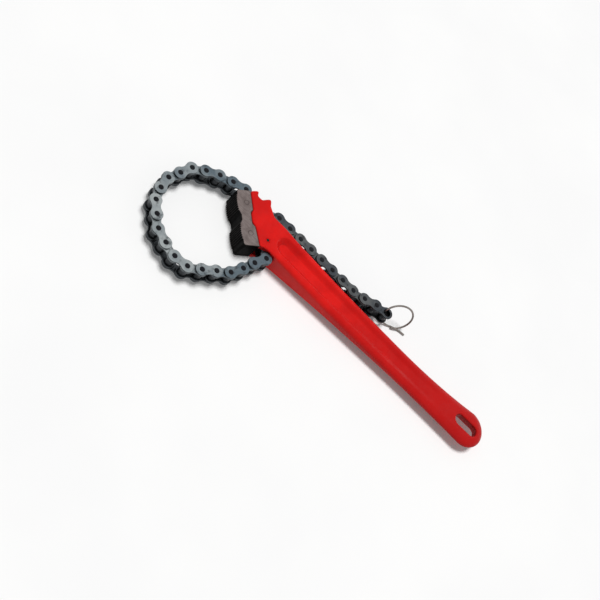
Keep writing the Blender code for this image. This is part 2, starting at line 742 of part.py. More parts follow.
def ring_route():
    """Centre line of the wire: a straight end, then one turn whose ends lie side by side."""
    pivot = Vector((*PIVOTS[-1], MID_HEIGHT))
    heading = math.radians(RING_HEADING)
    lean = math.radians(RING_LEAN)
    along = Vector((math.cos(heading), math.sin(heading), 0))
    across = Vector((-math.sin(heading), math.cos(heading), 0))
    rise = across * math.sin(lean) + Vector((0, 0, math.cos(lean)))
    normal = along.cross(rise)
    centre = pivot + along * RING_REACH + across * RING_SHIFT + Vector((0, 0, RING_RISE))
    foot = centre - rise * RING_RADIUS - normal * RING_END_OFFSET
    route = [foot + along * RING_TAIL, foot + along * RING_TAIL / 2]
    for i in range(RING_STEPS + 1):
        share = i / RING_STEPS
        angle = math.radians(270 - RING_TURN * share)
        offset = normal * RING_END_OFFSET * (2 * share - 1)
        route.append(centre + (along * math.cos(angle) + rise * math.sin(angle)) * RING_RADIUS + offset)
    return route


def build_ring():
    """Bend the pull ring from one length of wire and hang it in the last link's eye."""
    pivot = Vector((*PIVOTS[-1], 0))
    wire = bpy.data.curves.new("pull_ring", "CURVE")
    wire.dimensions = "3D"
    wire.bevel_depth = RING_WIRE / 2
    wire.bevel_resolution = 2
    wire.use_fill_caps = True
    route = ring_route()
    spline = wire.splines.new("POLY")
    spline.points.add(len(route) - 1)
    for point, place_on_wire in zip(spline.points, route):
        point.co = (*(place_on_wire - pivot), 1)
    wire.materials.append(finish("wire_steel"))
    ring = bpy.data.objects.new("pull_ring", wire)
    bpy.context.scene.collection.objects.link(ring)
    ring.location = pivot


def main():
    """Build every piece of the wrench."""
    clear_scene()
    build_handle()
    build_jaw()
    build_chain()
    build_ring()


main()
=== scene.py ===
"""Looks of the chain wrench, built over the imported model.

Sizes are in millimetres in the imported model's frame: +X runs along the handle, +Y is the side that
hooks the chain. Heights are measured from the wrench's middle plane. Meshes are turned into metres
when they are made.
"""

import json
import logging
import math
from collections.abc import Callable
from dataclasses import dataclass, field
from enum import Enum

import bmesh
import bpy
import numpy as np
from mathutils import Matrix, Vector


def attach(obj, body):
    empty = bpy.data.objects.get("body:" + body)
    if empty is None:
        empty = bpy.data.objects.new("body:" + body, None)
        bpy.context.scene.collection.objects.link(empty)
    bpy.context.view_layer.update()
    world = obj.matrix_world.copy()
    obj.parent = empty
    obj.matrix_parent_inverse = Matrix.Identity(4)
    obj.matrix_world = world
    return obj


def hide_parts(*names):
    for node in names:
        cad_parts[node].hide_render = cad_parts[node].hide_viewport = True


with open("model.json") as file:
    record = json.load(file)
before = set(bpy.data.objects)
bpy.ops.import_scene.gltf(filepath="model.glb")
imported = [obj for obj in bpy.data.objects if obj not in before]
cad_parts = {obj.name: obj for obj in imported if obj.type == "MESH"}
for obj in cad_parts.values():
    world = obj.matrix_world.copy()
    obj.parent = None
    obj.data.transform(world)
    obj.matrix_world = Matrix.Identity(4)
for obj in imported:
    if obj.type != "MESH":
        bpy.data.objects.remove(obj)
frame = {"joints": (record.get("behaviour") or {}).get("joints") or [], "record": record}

LOG = logging.getLogger("chain_wrench")
METRE = 1000.0
MID_HEIGHT = 13.5
PITCH = 15.875
ANCHOR_PITCH = 19.0
PLATE_RADIUS = 6.9
PLATE_WAIST = 4.7
ROLLER_RADIUS = 5.08
CHANNEL_GAP = 0.5
CHANNEL_HALF = 10.1
GAP = 0.3
BOX_REACH = 6.0
SLOPE_STEP = 0.02
LEAST_SQUARE = 0.2
LONGEST_STEP = 0.4
EVEN_ROUNDS = 3
EDGE_REACH = 1.2

Array = np.ndarray
Span = tuple[float, float]
Point = tuple[float, float, float]
Field = Callable[..., Array]
Mesh = bpy.types.Mesh
Material = bpy.types.Material
Socket = bpy.types.NodeSocket
Key = str | int


# Fields and outlines


def smooth_step(value: Array, start: float, end: float) -> Array:
    """Rise from 0 at start to 1 at end as t squared times (3 - 2t), with t the share of the way."""
    share = np.clip((value - start) / (end - start), 0, 1)
    return share * share * (3 - 2 * share)


def smooth_min(first: Array, second: Array, reach: Array | float) -> Array:
    """Lower of two distances, rounded off where they differ by less than the reach.

    Args:
        first: Signed distances to one shape.
        second: Signed distances to the other shape.
        reach: Width of the fillet between the two.

    Returns:
        The mix of both by a clamped share h of their difference, less reach times h(1 - h).
    """
    share = np.clip(0.5 + 0.5 * (second - first) / reach, 0, 1)
    return second + (first - second) * share - reach * share * (1 - share)


def smooth_max(first: Array, second: Array, reach: Array | float) -> Array:
    """Higher of two distances, rounded off in the same way as smooth_min."""
    return -smooth_min(-first, -second, reach)


def extruded(plan: Array, z: Array, half: Array | float, radius: Array | float) -> Array:
    """Distance to a plan extruded evenly to both sides of the middle plane, with rounded edges.

    Args:
        plan: Signed distance to the plan outline.
        z: Height from the middle plane.
        half: Half of the thickness.
        radius: Radius of the edges.

    Returns:
        Length of the positive parts of (plan + radius, |z| - half + radius), plus their greater
        one where both are negative, less the radius.
    """
    side = plan + radius
    rise = np.abs(z) - half + radius
    outside = np.hypot(np.maximum(side, 0), np.maximum(rise, 0))
    return outside + np.minimum(np.maximum(side, rise), 0) - radius


def polygon_distance(x: Array, y: Array, outline: Array) -> Array:
    """Signed distance to a closed outline, negative inside.

    Args:
        x: First coordinates of the points.
        y: Second coordinates of the points.
        outline: Corners of the outline, one row each.

    Returns:
        The least distance to any side, with its sign from the number of sides crossed on the way
        out along +X. Further than BOX_REACH from the outline's box it is the distance to the box.
    """
    x, y = np.broadcast_arrays(x, y)
    low, high = outline.min(axis=0), outline.max(axis=0)
    far = np.maximum(np.maximum(low[0] - x, x - high[0]), np.maximum(low[1] - y, y - high[1]))
    near = far < BOX_REACH
    run = np.roll(outline, -1, axis=0) - outline
    rise = np.where(run[:, 1] == 0, 1.0, run[:, 1])
    over = x[near][:, None] - outline[:, 0]
    up = y[near][:, None] - outline[:, 1]
    share = np.clip((over * run[:, 0] + up * run[:, 1]) / (run**2).sum(axis=1), 0, 1)
    gap = np.hypot(over - share * run[:, 0], up - share * run[:, 1]).min(axis=-1)
    crossed = ((up < 0) != (up < run[:, 1])) & (over < run[:, 0] * up / rise)
    far[near] = np.where(crossed.sum(axis=-1) % 2 == 1, -gap, gap)
    return far


def arc(centre: Array, radius: float, start: float, end: float, steps: int) -> Array:
    """Points on an arc: the centre plus the radius times (cos, sin) of angles in degrees."""
    angles = np.radians(np.linspace(start, end, steps + 1))
    return np.asarray(centre) + radius * np.stack([np.cos(angles), np.sin(angles)], axis=1)


def eased(outline: Array, reach: float, times: int) -> Array:
    """Cut the corners of a closed outline once or more.

    Args:
        outline: Corners of the outline.
        reach: Most that the first cut takes from each side, halved for each further cut.
        times: Number of cuts.

    Returns:
        The outline with each side kept from a share of its length to one minus that share.
    """
    for step in range(times):
        ahead = np.roll(outline, -1, axis=0)
        run = ahead - outline
        length = np.hypot(run[:, 0], run[:, 1])[:, None]
        cut = np.minimum(reach / 2**step / length, 0.25)
        outline = np.stack([outline + run * cut, ahead - run * cut], axis=1).reshape(-1, 2)
    return outline


def stations(*spans: Point) -> Array:
    """Grid lines along one axis: even steps of about the given size over each (start, end, step)."""
    runs = [np.linspace(start, end, round((end - start) / step) + 1)[:-1] for start, end, step in spans]
    return np.concatenate([*runs, [spans[-1][1]]])


def slope(shape: Field, points: Array) -> Array:
    """Gradient of a field at each point.

    Args:
        shape: The field.
        points: The points, one row each.

    Returns:
        Differences of the field over a step each way along the three axes, divided by two steps.
    """
    shifts = np.eye(3) * SLOPE_STEP
    sides = [shape(*(points + shift).T) - shape(*(points - shift).T) for shift in shifts]
    return np.stack(sides, axis=1) / (2 * SLOPE_STEP)


def settled(shape: Field, points: Array, faces: Array, even: float) -> Array:
    """Bring a net's points onto the surface and even out their spacing.

    Newton steps move each point by minus the field times its gradient over the gradient's square.
    After each but the last, each point slides along the surface towards its neighbours' mean.

    Args:
        shape: The field.
        points: The points, one row each.
        faces: The net's quads.
        even: Share of the way to the neighbours' mean that a point slides in each round.

    Returns:
        The points in their new places.
    """
    ends = np.concatenate([faces, np.roll(faces, 1, axis=1)]).ravel()
    others = np.concatenate([np.roll(faces, 1, axis=1), faces]).ravel()
    neighbours = np.bincount(ends, minlength=len(points))[:, None]
    for share in (even,) * EVEN_ROUNDS + (0.0,):
        gradient = slope(shape, points)
        value = shape(*points.T)[:, None]
        square = np.maximum((gradient**2).sum(axis=1), LEAST_SQUARE)[:, None]
        points = points - np.clip(value * gradient / square, -LONGEST_STEP, LONGEST_STEP)
        if share:
            sums = [np.bincount(ends, points[others, axis], len(points)) for axis in range(3)]
            slide = np.stack(sums, axis=1) / neighbours - points
            slide -= (slide * gradient).sum(axis=1)[:, None] * gradient / square
            points = points + slide * share
    return points


def surface_net(shape: Field, axes: tuple[Array, Array, Array], even: float) -> tuple[Array, Array]:
    """Skin of the solid where a field is negative.

    The field is read on a grid. Each grid edge whose ends differ in sign is crossed at the share
    low / (low - high) of its length. A cell's point is the mean of the crossings on its edges, and
    each crossed edge gives one quad between the four cells round it.

    Args:
        shape: The field, as a function of x, y and z.
        axes: Grid lines along the three axes, reaching past the solid.
        even: Share of the way to the neighbours' mean that a point slides in each round.

    Returns:
        The points, and the quads with their normals pointing out.
    """
    values = shape(axes[0][:, None, None], axes[1][None, :, None], axes[2][None, None, :])
    cells = tuple(len(axis) - 1 for axis in axes)
    total = np.zeros((math.prod(cells), 3))
    count = np.zeros(math.prod(cells))
    quads = []
    for axis in range(3):
        low = np.take(values, range(cells[axis]), axis=axis)
        high = np.take(values, range(1, cells[axis] + 1), axis=axis)
        at = np.stack(np.nonzero((low < 0) != (high < 0)))
        low, high = low[tuple(at)], high[tuple(at)]
        point = np.stack([axes[i][at[i]] for i in range(3)], axis=1)
        point[:, axis] += low / (low - high) * np.diff(axes[axis])[at[axis]]
        corners = []
        for back, down in ((0, 0), (1, 0), (1, 1), (0, 1)):
            cell = at.copy()
            cell[(axis + 1) % 3] -= back
            cell[(axis + 2) % 3] -= down
            corners.append(np.ravel_multi_index(tuple(cell), cells))
            count += np.bincount(corners[-1], minlength=len(count))
            for i in range(3):
                total[:, i] += np.bincount(corners[-1], weights=point[:, i], minlength=len(count))
        corners = np.stack(corners, axis=1)
        quads.append(np.where((low < 0)[:, None], corners, corners[:, ::-1]))
    used = np.flatnonzero(count)
    number = np.zeros(len(count), int)
    number[used] = np.arange(len(used))
    faces = number[np.concatenate(quads)]
    return settled(shape, total[used] / count[used][:, None], faces, even), faces


# Meshes


def filled_mesh(name: str, points: Array, corners: Array, sizes: Array, materials: list[Material]) -> Mesh:
    """Make a smooth mesh in metres.

    Args:
        name: Name of the mesh.
        points: Its points, in millimetres from the middle plane.
        corners: Point numbers of its faces, one face after the other.
        sizes: Number of corners of each face.
        materials: Its materials.

    Returns:
        The mesh.
    """
    made = bpy.data.meshes.new(name)
    made.vertices.add(len(points))
    made.vertices.foreach_set("co", ((points + [0, 0, MID_HEIGHT]) / METRE).ravel())
    made.loops.add(len(corners))
    made.loops.foreach_set("vertex_index", corners)
    made.polygons.add(len(sizes))
    made.polygons.foreach_set("loop_start", np.cumsum(sizes) - sizes)
    made.update(calc_edges=True)
    for material in materials:
        made.materials.append(material)
    made.shade_smooth()
    return made


@dataclass
class Shell:
    """Surfaces in the making, in millimetres, that are welded into one mesh."""

    points: list[Array] = field(default_factory=list)
    quads: list[Array] = field(default_factory=list)
    finishes: list[Array] = field(default_factory=list)
    count: int = 0

    def rings(self, points: Array, closed: bool = False, finish: int = 0) -> None:
        """Add the quads between neighbouring rings of points.

        Args:
            points: The rings, as rings by points by three coordinates.
            closed: Whether the last ring joins the first.
            finish: Number of the finish.
        """
        count, sides = points.shape[:2]
        number = np.arange(count * sides).reshape(count, sides) + self.count
        number = np.concatenate([number, number[:1]]) if closed else number
        number = np.concatenate([number, number[:, :1]], axis=1)
        corners = [number[:-1, :-1], number[:-1, 1:], number[1:, 1:], number[1:, :-1]]
        self.quads.append(np.stack([corner.ravel() for corner in corners], axis=1))
        self.points.append(points.reshape(-1, 3))
        self.finishes.append(np.full(len(self.quads[-1]), finish))
        self.count += count * sides

    def levels(self, plan: Array, heights: Array, closed: bool = False, finish: int = 0) -> None:
        """Add flat rings, each at a height of its own from the middle plane.

        Args:
            plan: Plan positions, as rings by points by two coordinates.
            heights: Height of each ring, or one for all.
            closed: Whether the last ring joins the first.
            finish: Number of the finish.
        """
        rise = np.broadcast_to(np.reshape(heights, (-1, 1, 1)), (*plan.shape[:2], 1))
        self.rings(np.concatenate([plan, rise], axis=2), closed, finish)

    def lathe(self, profile: Array, centre: Array, sides: int, closed: bool = False, finish: int = 0) -> None:
        """Turn a profile round an upright axis.

        Args:
            profile: Radius and height of its points, with its ends on the axis unless it is closed.
            centre: Plan position of the axis.
            sides: Number of steps round the axis.
            closed: Whether the profile's last point joins its first.
            finish: Number of the finish.
        """
        turn = 2 * np.pi * np.arange(sides) / sides
        radius, height = np.asarray(profile, float).T
        ring = np.stack([np.cos(turn), np.sin(turn)], axis=1)
        self.levels(np.asarray(centre) + radius[:, None, None] * ring, height, closed, finish)

    def mesh(self, name: str, materials: list[Material]) -> Mesh:
        """Weld the surfaces and turn their normals out.

        Points nearer than a tenth of a micron become one, and a quad whose corners fall together
        becomes a triangle.

        Args:
            name: Name of the mesh.
            materials: Its materials, in the order of the finish numbers.

        Returns:
            The mesh, shaded smooth up to 35 degrees.
        """
        points, quads = np.concatenate(self.points), np.concatenate(self.quads)
        finishes = np.concatenate(self.finishes)
        keys = np.round(points * 1e4).astype(np.int64)
        _, first, merged = np.unique(keys, axis=0, return_index=True, return_inverse=True)
        quads = merged.reshape(-1)[quads]
        kept = quads != np.roll(quads, -1, axis=1)
        whole = kept.sum(axis=1) >= 3
        quads, kept, finishes = quads[whole], kept[whole], finishes[whole]
        made = filled_mesh(name, points[first], quads[kept], kept.sum(axis=1), materials)
        made.polygons.foreach_set("material_index", finishes)
        turned = bmesh.new()
        turned.from_mesh(made)
        bmesh.ops.recalc_face_normals(turned, faces=turned.faces)
        turned.to_mesh(made)
        turned.free()
        made.set_sharp_from_angle(angle=math.radians(35))
        return made


@dataclass(frozen=True)
class Skin:
    """A piece whose surface is the skin of a field: its grid, its place and its marks."""

    shape: Field
    axes: tuple[Array, Array, Array]
    even: float
    place: Field
    marks: dict[str, Field]

    def mesh(self, name: str, materials: list[Material]) -> Mesh:
        """Make the mesh, with its normals and its marks taken from the field.

        The mark "edge" is half the sum of the field over six steps of EDGE_REACH along the axes,
        which is above 0 on a rounded edge and below 0 in a hollow. Each further mark is a function
        of the points and their normals.

        Args:
            name: Name of the mesh.
            materials: Its materials.

        Returns:
            The mesh in metres, in the wrench's frame.
        """
        points, quads = surface_net(self.shape, self.axes, self.even)
        normals = slope(self.shape, points)
        normals /= np.maximum(np.linalg.norm(normals, axis=1), 1e-6)[:, None]
        steps = np.concatenate([np.eye(3), -np.eye(3)]) * EDGE_REACH
        around = sum(self.shape(*(points + step).T) for step in steps)
        placed = self.place(points)
        made = filled_mesh(name, placed, quads.ravel(), np.full(len(quads), 4), materials)
        made.normals_split_custom_set_from_vertices(self.place(points + normals) - placed)
        set_mark(made, "edge", np.clip(around / 2, -1, 1))
        for mark, measure in self.marks.items():
            set_mark(made, mark, measure(points, normals))
        return made


def set_mark(made: Mesh, name: str, values: Array) -> None:
    """Give each point of a mesh a value that its finish can read."""
    made.attributes.new(name, "FLOAT", "POINT").data.foreach_set("value", values.astype(np.float32))


def show(name: str, made: Mesh, node: str) -> None:
    """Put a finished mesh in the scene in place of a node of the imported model.

    Args:
        name: Name of the piece, which rides on the node's body.
        made: Its mesh.
        node: The node that the piece stands for.
    """
    piece = bpy.data.objects.new(name, made)
    bpy.context.scene.collection.objects.link(piece)
    bodies = frame["record"]["behaviour"]["bodies"]
    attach(piece, next(body for body, nodes in bodies.items() if node in nodes))
    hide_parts(node)
    LOG.info("%s: %d faces", name, len(made.polygons))


# Finishes


class Bench:
    """Bench for one material: adds nodes, links them and keeps its shader at hand."""

    def __init__(self, name: str) -> None:
        """Start a material whose patterns read Object coordinates."""
        self.material = bpy.data.materials.new(name)
        self.material.use_nodes = True
        self.nodes = self.material.node_tree.nodes
        self.shader = self.nodes["Principled BSDF"]
        self.place = self.nodes.new("ShaderNodeTexCoord").outputs["Object"]

    def add(self, kind: str, inputs: dict[Key, object], output: Key, **settings: object) -> Socket:
        """Add a node.

        Args:
            kind: Type of the node.
            inputs: Values or sockets by input name or number.
            output: Name or number of the output wanted.
            settings: Settings of the node.

        Returns:
            The output's socket.
        """
        node = self.nodes.new(kind)
        for key, value in settings.items():
            setattr(node, key, value)
        for key, value in inputs.items():
            self.feed(node.inputs[key], value)
        return node.outputs[output]

    def feed(self, socket: Socket, value: object) -> None:
        """Link an input to a socket, or set its own value.

        Args:
            socket: The input.
            value: A socket, a number, a vector, or a colour of three parts.
        """
        if isinstance(value, Socket):
            self.material.node_tree.links.new(value, socket)
        elif isinstance(value, tuple) and len(value) == 3 and socket.type == "RGBA":
            socket.default_value = (*value, 1)
        else:
            socket.default_value = value

    def noise(self, scale: float, detail: float, stretch: Point = (1, 1, 1), turn: float = 0) -> Socket:
        """Cloudy noise with about this many lumps per metre.

        Args:
            scale: Lumps per metre.
            detail: Octaves of finer lumps.
            stretch: Scale of the pattern along each axis.
            turn: Its angle about Z in degrees.

        Returns:
            The noise, mostly between 0.3 and 0.7.
        """
        turned = {"Vector": self.place, "Scale": stretch, "Rotation": (0, 0, math.radians(turn))}
        vector = self.add("ShaderNodeMapping", turned, "Vector")
        lumps = {"Vector": vector, "Scale": scale, "Detail": detail, "Roughness": 0.58}
        return self.add("ShaderNodeTexNoise", lumps, "Fac")

    def pits(self, scale: float) -> Socket:
        """Distance to scattered points, about this many per metre."""
        return self.add("ShaderNodeTexVoronoi", {"Vector": self.place, "Scale": scale}, "Distance")

    def mark(self, name: str) -> Socket:
        """Value that the mesh carries under this name."""
        return self.add("ShaderNodeAttribute", {}, "Fac", attribute_name=name)

    def spread(self, value: Socket, low: float, high: float, to_low: float = 0, to_high: float = 1) -> Socket:
        """Carry a range of values over to another range, smoothly and clamped."""
        limits = {"Value": value, "From Min": low, "From Max": high, "To Min": to_low, "To Max": to_high}
        return self.add("ShaderNodeMapRange", limits, "Result", interpolation_type="SMOOTHSTEP")

    def math(self, operation: str, first: object, second: object) -> Socket:
        """Combine two values."""
        return self.add("ShaderNodeMath", {0: first, 1: second}, 0, operation=operation)

    def mix(self, share: object, first: object, second: object) -> Socket:
        """Mix two colours by a share."""
        return self.add("ShaderNodeMix", {0: share, 6: first, 7: second}, 2, data_type="RGBA")

    def bump(self, height: Socket, depth: float, under: Socket | None = None) -> Socket:
        """Relief of this depth in metres, over another relief if there is one."""
        inputs = {"Height": height, "Strength": 1.0, "Distance": depth}
        return self.add("ShaderNodeBump", inputs if under is None else {**inputs, "Normal": under}, "Normal")

    def dress(self, **inputs: object) -> Material:
        """Set the shader's inputs.

        Args:
            inputs: Values or sockets by input name, with underscores for spaces.

        Returns:
            The material.
        """
        for key, value in inputs.items():
            self.feed(self.shader.inputs[key.replace("_", " ")], value)
        return self.material


@dataclass(frozen=True)
class Enamel:
    """Sprayed enamel on a forging: slow drift of tone, orange peel, painted shade in hollows, thin edges."""

    name: str = "red_enamel_finish"
    deep: Point = (0.54, 0.007, 0.006)
    bright: Point = (0.68, 0.010, 0.008)
    # painted shade: darker enamel tone standing in for light falling off towards the round end
    painted_end_shade: Point = (0.37, 0.006, 0.006)
    # painted shade: darker enamel tone for hollows, where shade falls
    hollow: Point = (0.24, 0.003, 0.003)
    bare: Point = (0.10, 0.09, 0.085)

    def material(self) -> Material:
        """Enamel with painted shade that darkens it along the handle towards the round end, and in hollows.

        Returns:
            The material, worn to bare steel where the mark "bare" or a sharp edge says so.
        """
        bench = Bench(self.name)
        edge = bench.mark("edge")
        tone = bench.mix(bench.spread(bench.noise(32, 3), 0.35, 0.65), self.deep, self.bright)
        speckle = bench.spread(bench.noise(700, 3), 0.42, 0.62)
        tone = bench.mix(bench.math("MULTIPLY", speckle, 0.18), tone, self.deep)
        along = bench.add("ShaderNodeSeparateXYZ", {0: bench.place}, "X")
        # painted shade: the tone darkens with X towards the handle's round end
        tone = bench.mix(bench.spread(along, 0.03, 0.32, 0, 0.8), tone, self.painted_end_shade)
        # painted shade: where the mark edge is below 0, hollows take the darker tone
        tone = bench.mix(bench.spread(edge, -0.15, -0.7, 0, 0.85), tone, self.hollow)
        flakes = bench.spread(bench.noise(260, 6), 0.60, 0.66)
        chips = bench.math("MULTIPLY", bench.spread(edge, 0.45, 0.95), flakes)
        worn = bench.math("MAXIMUM", chips, bench.mark("bare"))
        tone = bench.mix(worn, tone, self.bare)
        peel = bench.bump(bench.noise(620, 2), 0.00007)
        peel = bench.bump(bench.noise(55, 2), 0.0005, peel)
        rough = bench.spread(bench.noise(90, 5), 0.3, 0.7, 0.30, 0.46)
        return bench.dress(Base_Color=tone, Roughness=rough, Normal=peel, IOR=1.3, Specular_IOR_Level=0.35)


@dataclass(frozen=True)
class JawSteel:
    """Hardened jaw steel: sides ground to a warm grey, the rest furnace scale, darkened past its own colour
    as painted shade.
    """

    name: str = "jaw_steel_finish"
    ground: Point = (0.185, 0.150, 0.142)
    streak: Point = (0.26, 0.22, 0.21)
    stain: Point = (0.11, 0.085, 0.08)
    # furnace scale colours, darkened to almost nothing as painted shade on the faces that are not ground
    black: Point = (0.002, 0.002, 0.002)
    scale: Point = (0.006, 0.0055, 0.0055)

    def material(self) -> Material:
        """Grinding streaks on the sides, and elsewhere furnace scale darkened to almost nothing as painted
        shade.

        Returns:
            The material, parted by the mark "ground".
        """
        bench = Bench(self.name)
        lines = bench.noise(150, 5, (1, 14, 14), 42)
        blotch = bench.spread(bench.noise(110, 4), 0.40, 0.68)
        side = bench.mix(bench.spread(lines, 0.42, 0.62), self.ground, self.streak)
        side = bench.mix(bench.math("MULTIPLY", blotch, 0.55), side, self.stain)
        front = bench.mix(bench.spread(bench.noise(240, 5), 0.42, 0.64), self.black, self.scale)
        front = bench.mix(bench.spread(bench.mark("edge"), 0.45, 1.0, 0, 0.12), front, self.streak)
        share = bench.mark("ground")
        tone = bench.mix(share, front, side)
        rough = bench.spread(lines, 0.3, 0.7, 0.38, 0.56)
        relief = bench.bump(lines, 0.00003)
        relief = bench.bump(bench.noise(300, 4), 0.00012, relief)
        metal = bench.spread(share, 0, 1, 0.1, 0.7)
        surface = {"Base_Color": tone, "Roughness": rough, "Normal": relief, "Metallic": metal}
        return bench.dress(**surface, IOR=1.1, Specular_IOR_Level=0.3)


@dataclass(frozen=True)
class Steel:
    """Rolled steel of the chain: an oiled plate colour that drifts from blue to grey to dark."""

    name: str
    light: Point
    cool: Point
    dark: Point
    shine: Span = (0.28, 0.46)
    drift: float = 42
    metallic: float = 0.9
    takes_painted_light: bool = False
    rims_painted_dark: bool = False

    def material(self) -> Material:
        """Cloudy tints over fine rolling lines, with small pits and a varied gloss.

        Returns:
            The material. Where the steel takes painted light, a mesh's per-link mark makes it lighter, and
            where its rims are painted dark, the mark "face" parts the outer faces from the rims and inner
            faces, which get painted shade.
        """
        bench = Bench(self.name)
        share = bench.spread(bench.noise(self.drift, 3), 0.36, 0.62)
        if self.takes_painted_light:
            # painted light: the per-link mark lightens the plate colour where light falls along the chain
            cloudy = bench.math("ADD", bench.math("MULTIPLY", share, 0.55), 0.8)
            share = bench.math("SUBTRACT", cloudy, bench.mark("tint"))
        tone = bench.mix(share, self.light, self.cool)
        stain = bench.spread(bench.noise(self.drift * 4.5, 5), 0.52, 0.70)
        tone = bench.mix(bench.math("MULTIPLY", stain, 0.75), tone, self.dark)
        speck = bench.spread(bench.pits(1500), 0.05, 0.22, 0.5, 0)
        tone = bench.mix(speck, tone, self.dark)
        # painted shade: rims and inner faces of the plates take the dark colour, outer faces keep theirs
        if self.rims_painted_dark:
            tone = bench.mix(bench.mark("face"), self.dark, tone)
        rough = bench.spread(bench.noise(380, 5), 0.3, 0.7, *self.shine)
        relief = bench.bump(bench.noise(900, 3), 0.00004)
        relief = bench.bump(bench.noise(160, 3), 0.00015, relief)
        surface = {"Base_Color": tone, "Roughness": rough, "Normal": relief}
        return bench.dress(**surface, Metallic=self.metallic, Specular_IOR_Level=0.12)


PLATE_STEEL = Steel(
    name="chain_plate_finish",
    light=(0.36, 0.39, 0.395),
    cool=(0.12, 0.155, 0.18),
    dark=(0.05, 0.055, 0.06),
    takes_painted_light=True,
    rims_painted_dark=True,
)
# painted shade: darker copy of the plate steel, standing in for shade on the tail links
SHADED_TAIL_STEEL = Steel(
    name="tail_plate_finish",
    light=(0.125, 0.13, 0.13),
    cool=(0.06, 0.068, 0.078),
    dark=(0.022, 0.022, 0.024),
    rims_painted_dark=True,
)
# painted shade: rollers and bushes near black, for the shade between the plates
SHADED_ROLLER_STEEL = Steel(
    name="roller_finish",
    light=(0.035, 0.038, 0.042),
    cool=(0.022, 0.025, 0.028),
    dark=(0.008, 0.008, 0.009),
)
PIN_STEEL = Steel(
    name="chain_pin_finish",
    light=(0.006, 0.007, 0.009),
    cool=(0.004, 0.004, 0.006),
    dark=(0.002, 0.002, 0.002),
    metallic=0.0,
)
WIRE_STEEL = Steel(
    name="ring_wire_finish",
    light=(0.29, 0.265, 0.245),
    cool=(0.20, 0.18, 0.165),
    dark=(0.08, 0.07, 0.06),
    shine=(0.22, 0.40),
    drift=70,
    metallic=1.0,
)
DOT_STEEL = Steel(
    name="anchor_dot_finish",
    light=(0.035, 0.03, 0.03),
    cool=(0.02, 0.018, 0.018),
    dark=(0.01, 0.01, 0.01),
)


# Where things lie


@dataclass(frozen=True)
class ChainLay:
    """Plan positions of the chain's pivots, from the anchor pin to the pull ring."""

    pivots: Array

    @classmethod
    def from_joints(cls, joints: list[dict]) -> "ChainLay":
        """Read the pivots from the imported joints.

        The tenth pivot carries no joint: it lies a pitch from both neighbours, on the outer side,
        so it is their middle plus the left normal times the root of pitch squared less the half
        distance squared.

        Args:
            joints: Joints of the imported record.

        Returns:
            The lay of all thirty-four pivots.
        """
        places = {joint["name"]: np.array(joint["pos_m"][:2]) * METRE for joint in joints}
        places["pivot_33"] = places["ring_swivel"]
        before, after = places["pivot_09"], places["pivot_11"]
        run = after - before
        bulge = math.sqrt(PITCH**2 - (run @ run) / 4) / math.hypot(*run)
        places["pivot_10"] = (before + after) / 2 + np.array([-run[1], run[0]]) * bulge
        return cls(np.array([places[f"pivot_{number:02d}"] for number in range(34)]))

    @property
    def top_edge(self) -> float:
        """Height along Y of the handle's upper edge, just under the first tail plate."""
        return self.pivots[23][1] - PLATE_RADIUS - GAP

    def heading(self, number: int) -> float:
        """Heading of a link in degrees, from its first pivot to its second."""
        run = self.pivots[number] - self.pivots[number - 1]
        return math.degrees(math.atan2(run[1], run[0]))

    def channel(self) -> Array:
        """Outline of the space that the chain passes through.

        Returns:
            Its corners: a flat a gap under each plate from link 20 to link 24, open at the top.
        """
        entry, seated, hooked, tail = self.pivots[20:24]
        start, top = self.pivots[19], self.pivots[21][1] + 2 * PITCH
        end = tail[0] + PITCH / 2
        flats = [
            (start[0], start),
            (entry[0] - CHANNEL_GAP, entry),
            (entry[0] + PLATE_WAIST, entry),
            (seated[0] - PLATE_WAIST, seated),
            (seated[0] + PLATE_WAIST, seated),
            (hooked[0] + PLATE_WAIST, hooked),
        ]
        corners = [(x, pivot[1] - (PLATE_RADIUS + CHANNEL_GAP)) for x, pivot in flats]
        corners += [(tail[0] - PLATE_WAIST, self.top_edge - CHANNEL_GAP), (end, self.top_edge + CHANNEL_GAP)]
        return np.array([*corners, (end, top), (start[0], top)])


@dataclass(frozen=True)
class JawFrame:
    """The jaw's own frame: u runs up its seat and v out of it towards the pipe."""

    seat: Span = (-17.25, -2.85)
    angle: float = 133.8
    length: float = 64.2
    pin_shares: Span = (0.275, -0.275)
    pin_depth: float = 6.8
    wedge: float = 2.0

    @property
    def turn(self) -> Span:
        """Cosine and sine of the seat's angle."""
        return math.cos(math.radians(self.angle)), math.sin(math.radians(self.angle))

    def to_plan(self, u: Array, v: Array) -> tuple[Array, Array]:
        """Turn (u, v) by the seat's angle and shift it to the middle of the seat."""
        cos, sin = self.turn
        return self.seat[0] + u * cos - v * sin, self.seat[1] + u * sin + v * cos

    def from_plan(self, x: Array, y: Array) -> tuple[Array, Array]:
        """Undo the shift and the turn.

        Args:
            x: First coordinates in the wrench's frame.
            y: Second coordinates in the wrench's frame.

        Returns:
            The coordinates u and v.
        """
        cos, sin = self.turn
        x, y = x - self.seat[0], y - self.seat[1]
        return x * cos + y * sin, y * cos - x * sin

    def pin(self, number: int) -> Array:
        """Plan position of a cross pin, upper first."""
        return np.array(self.to_plan(self.length * self.pin_shares[number], self.pin_depth))


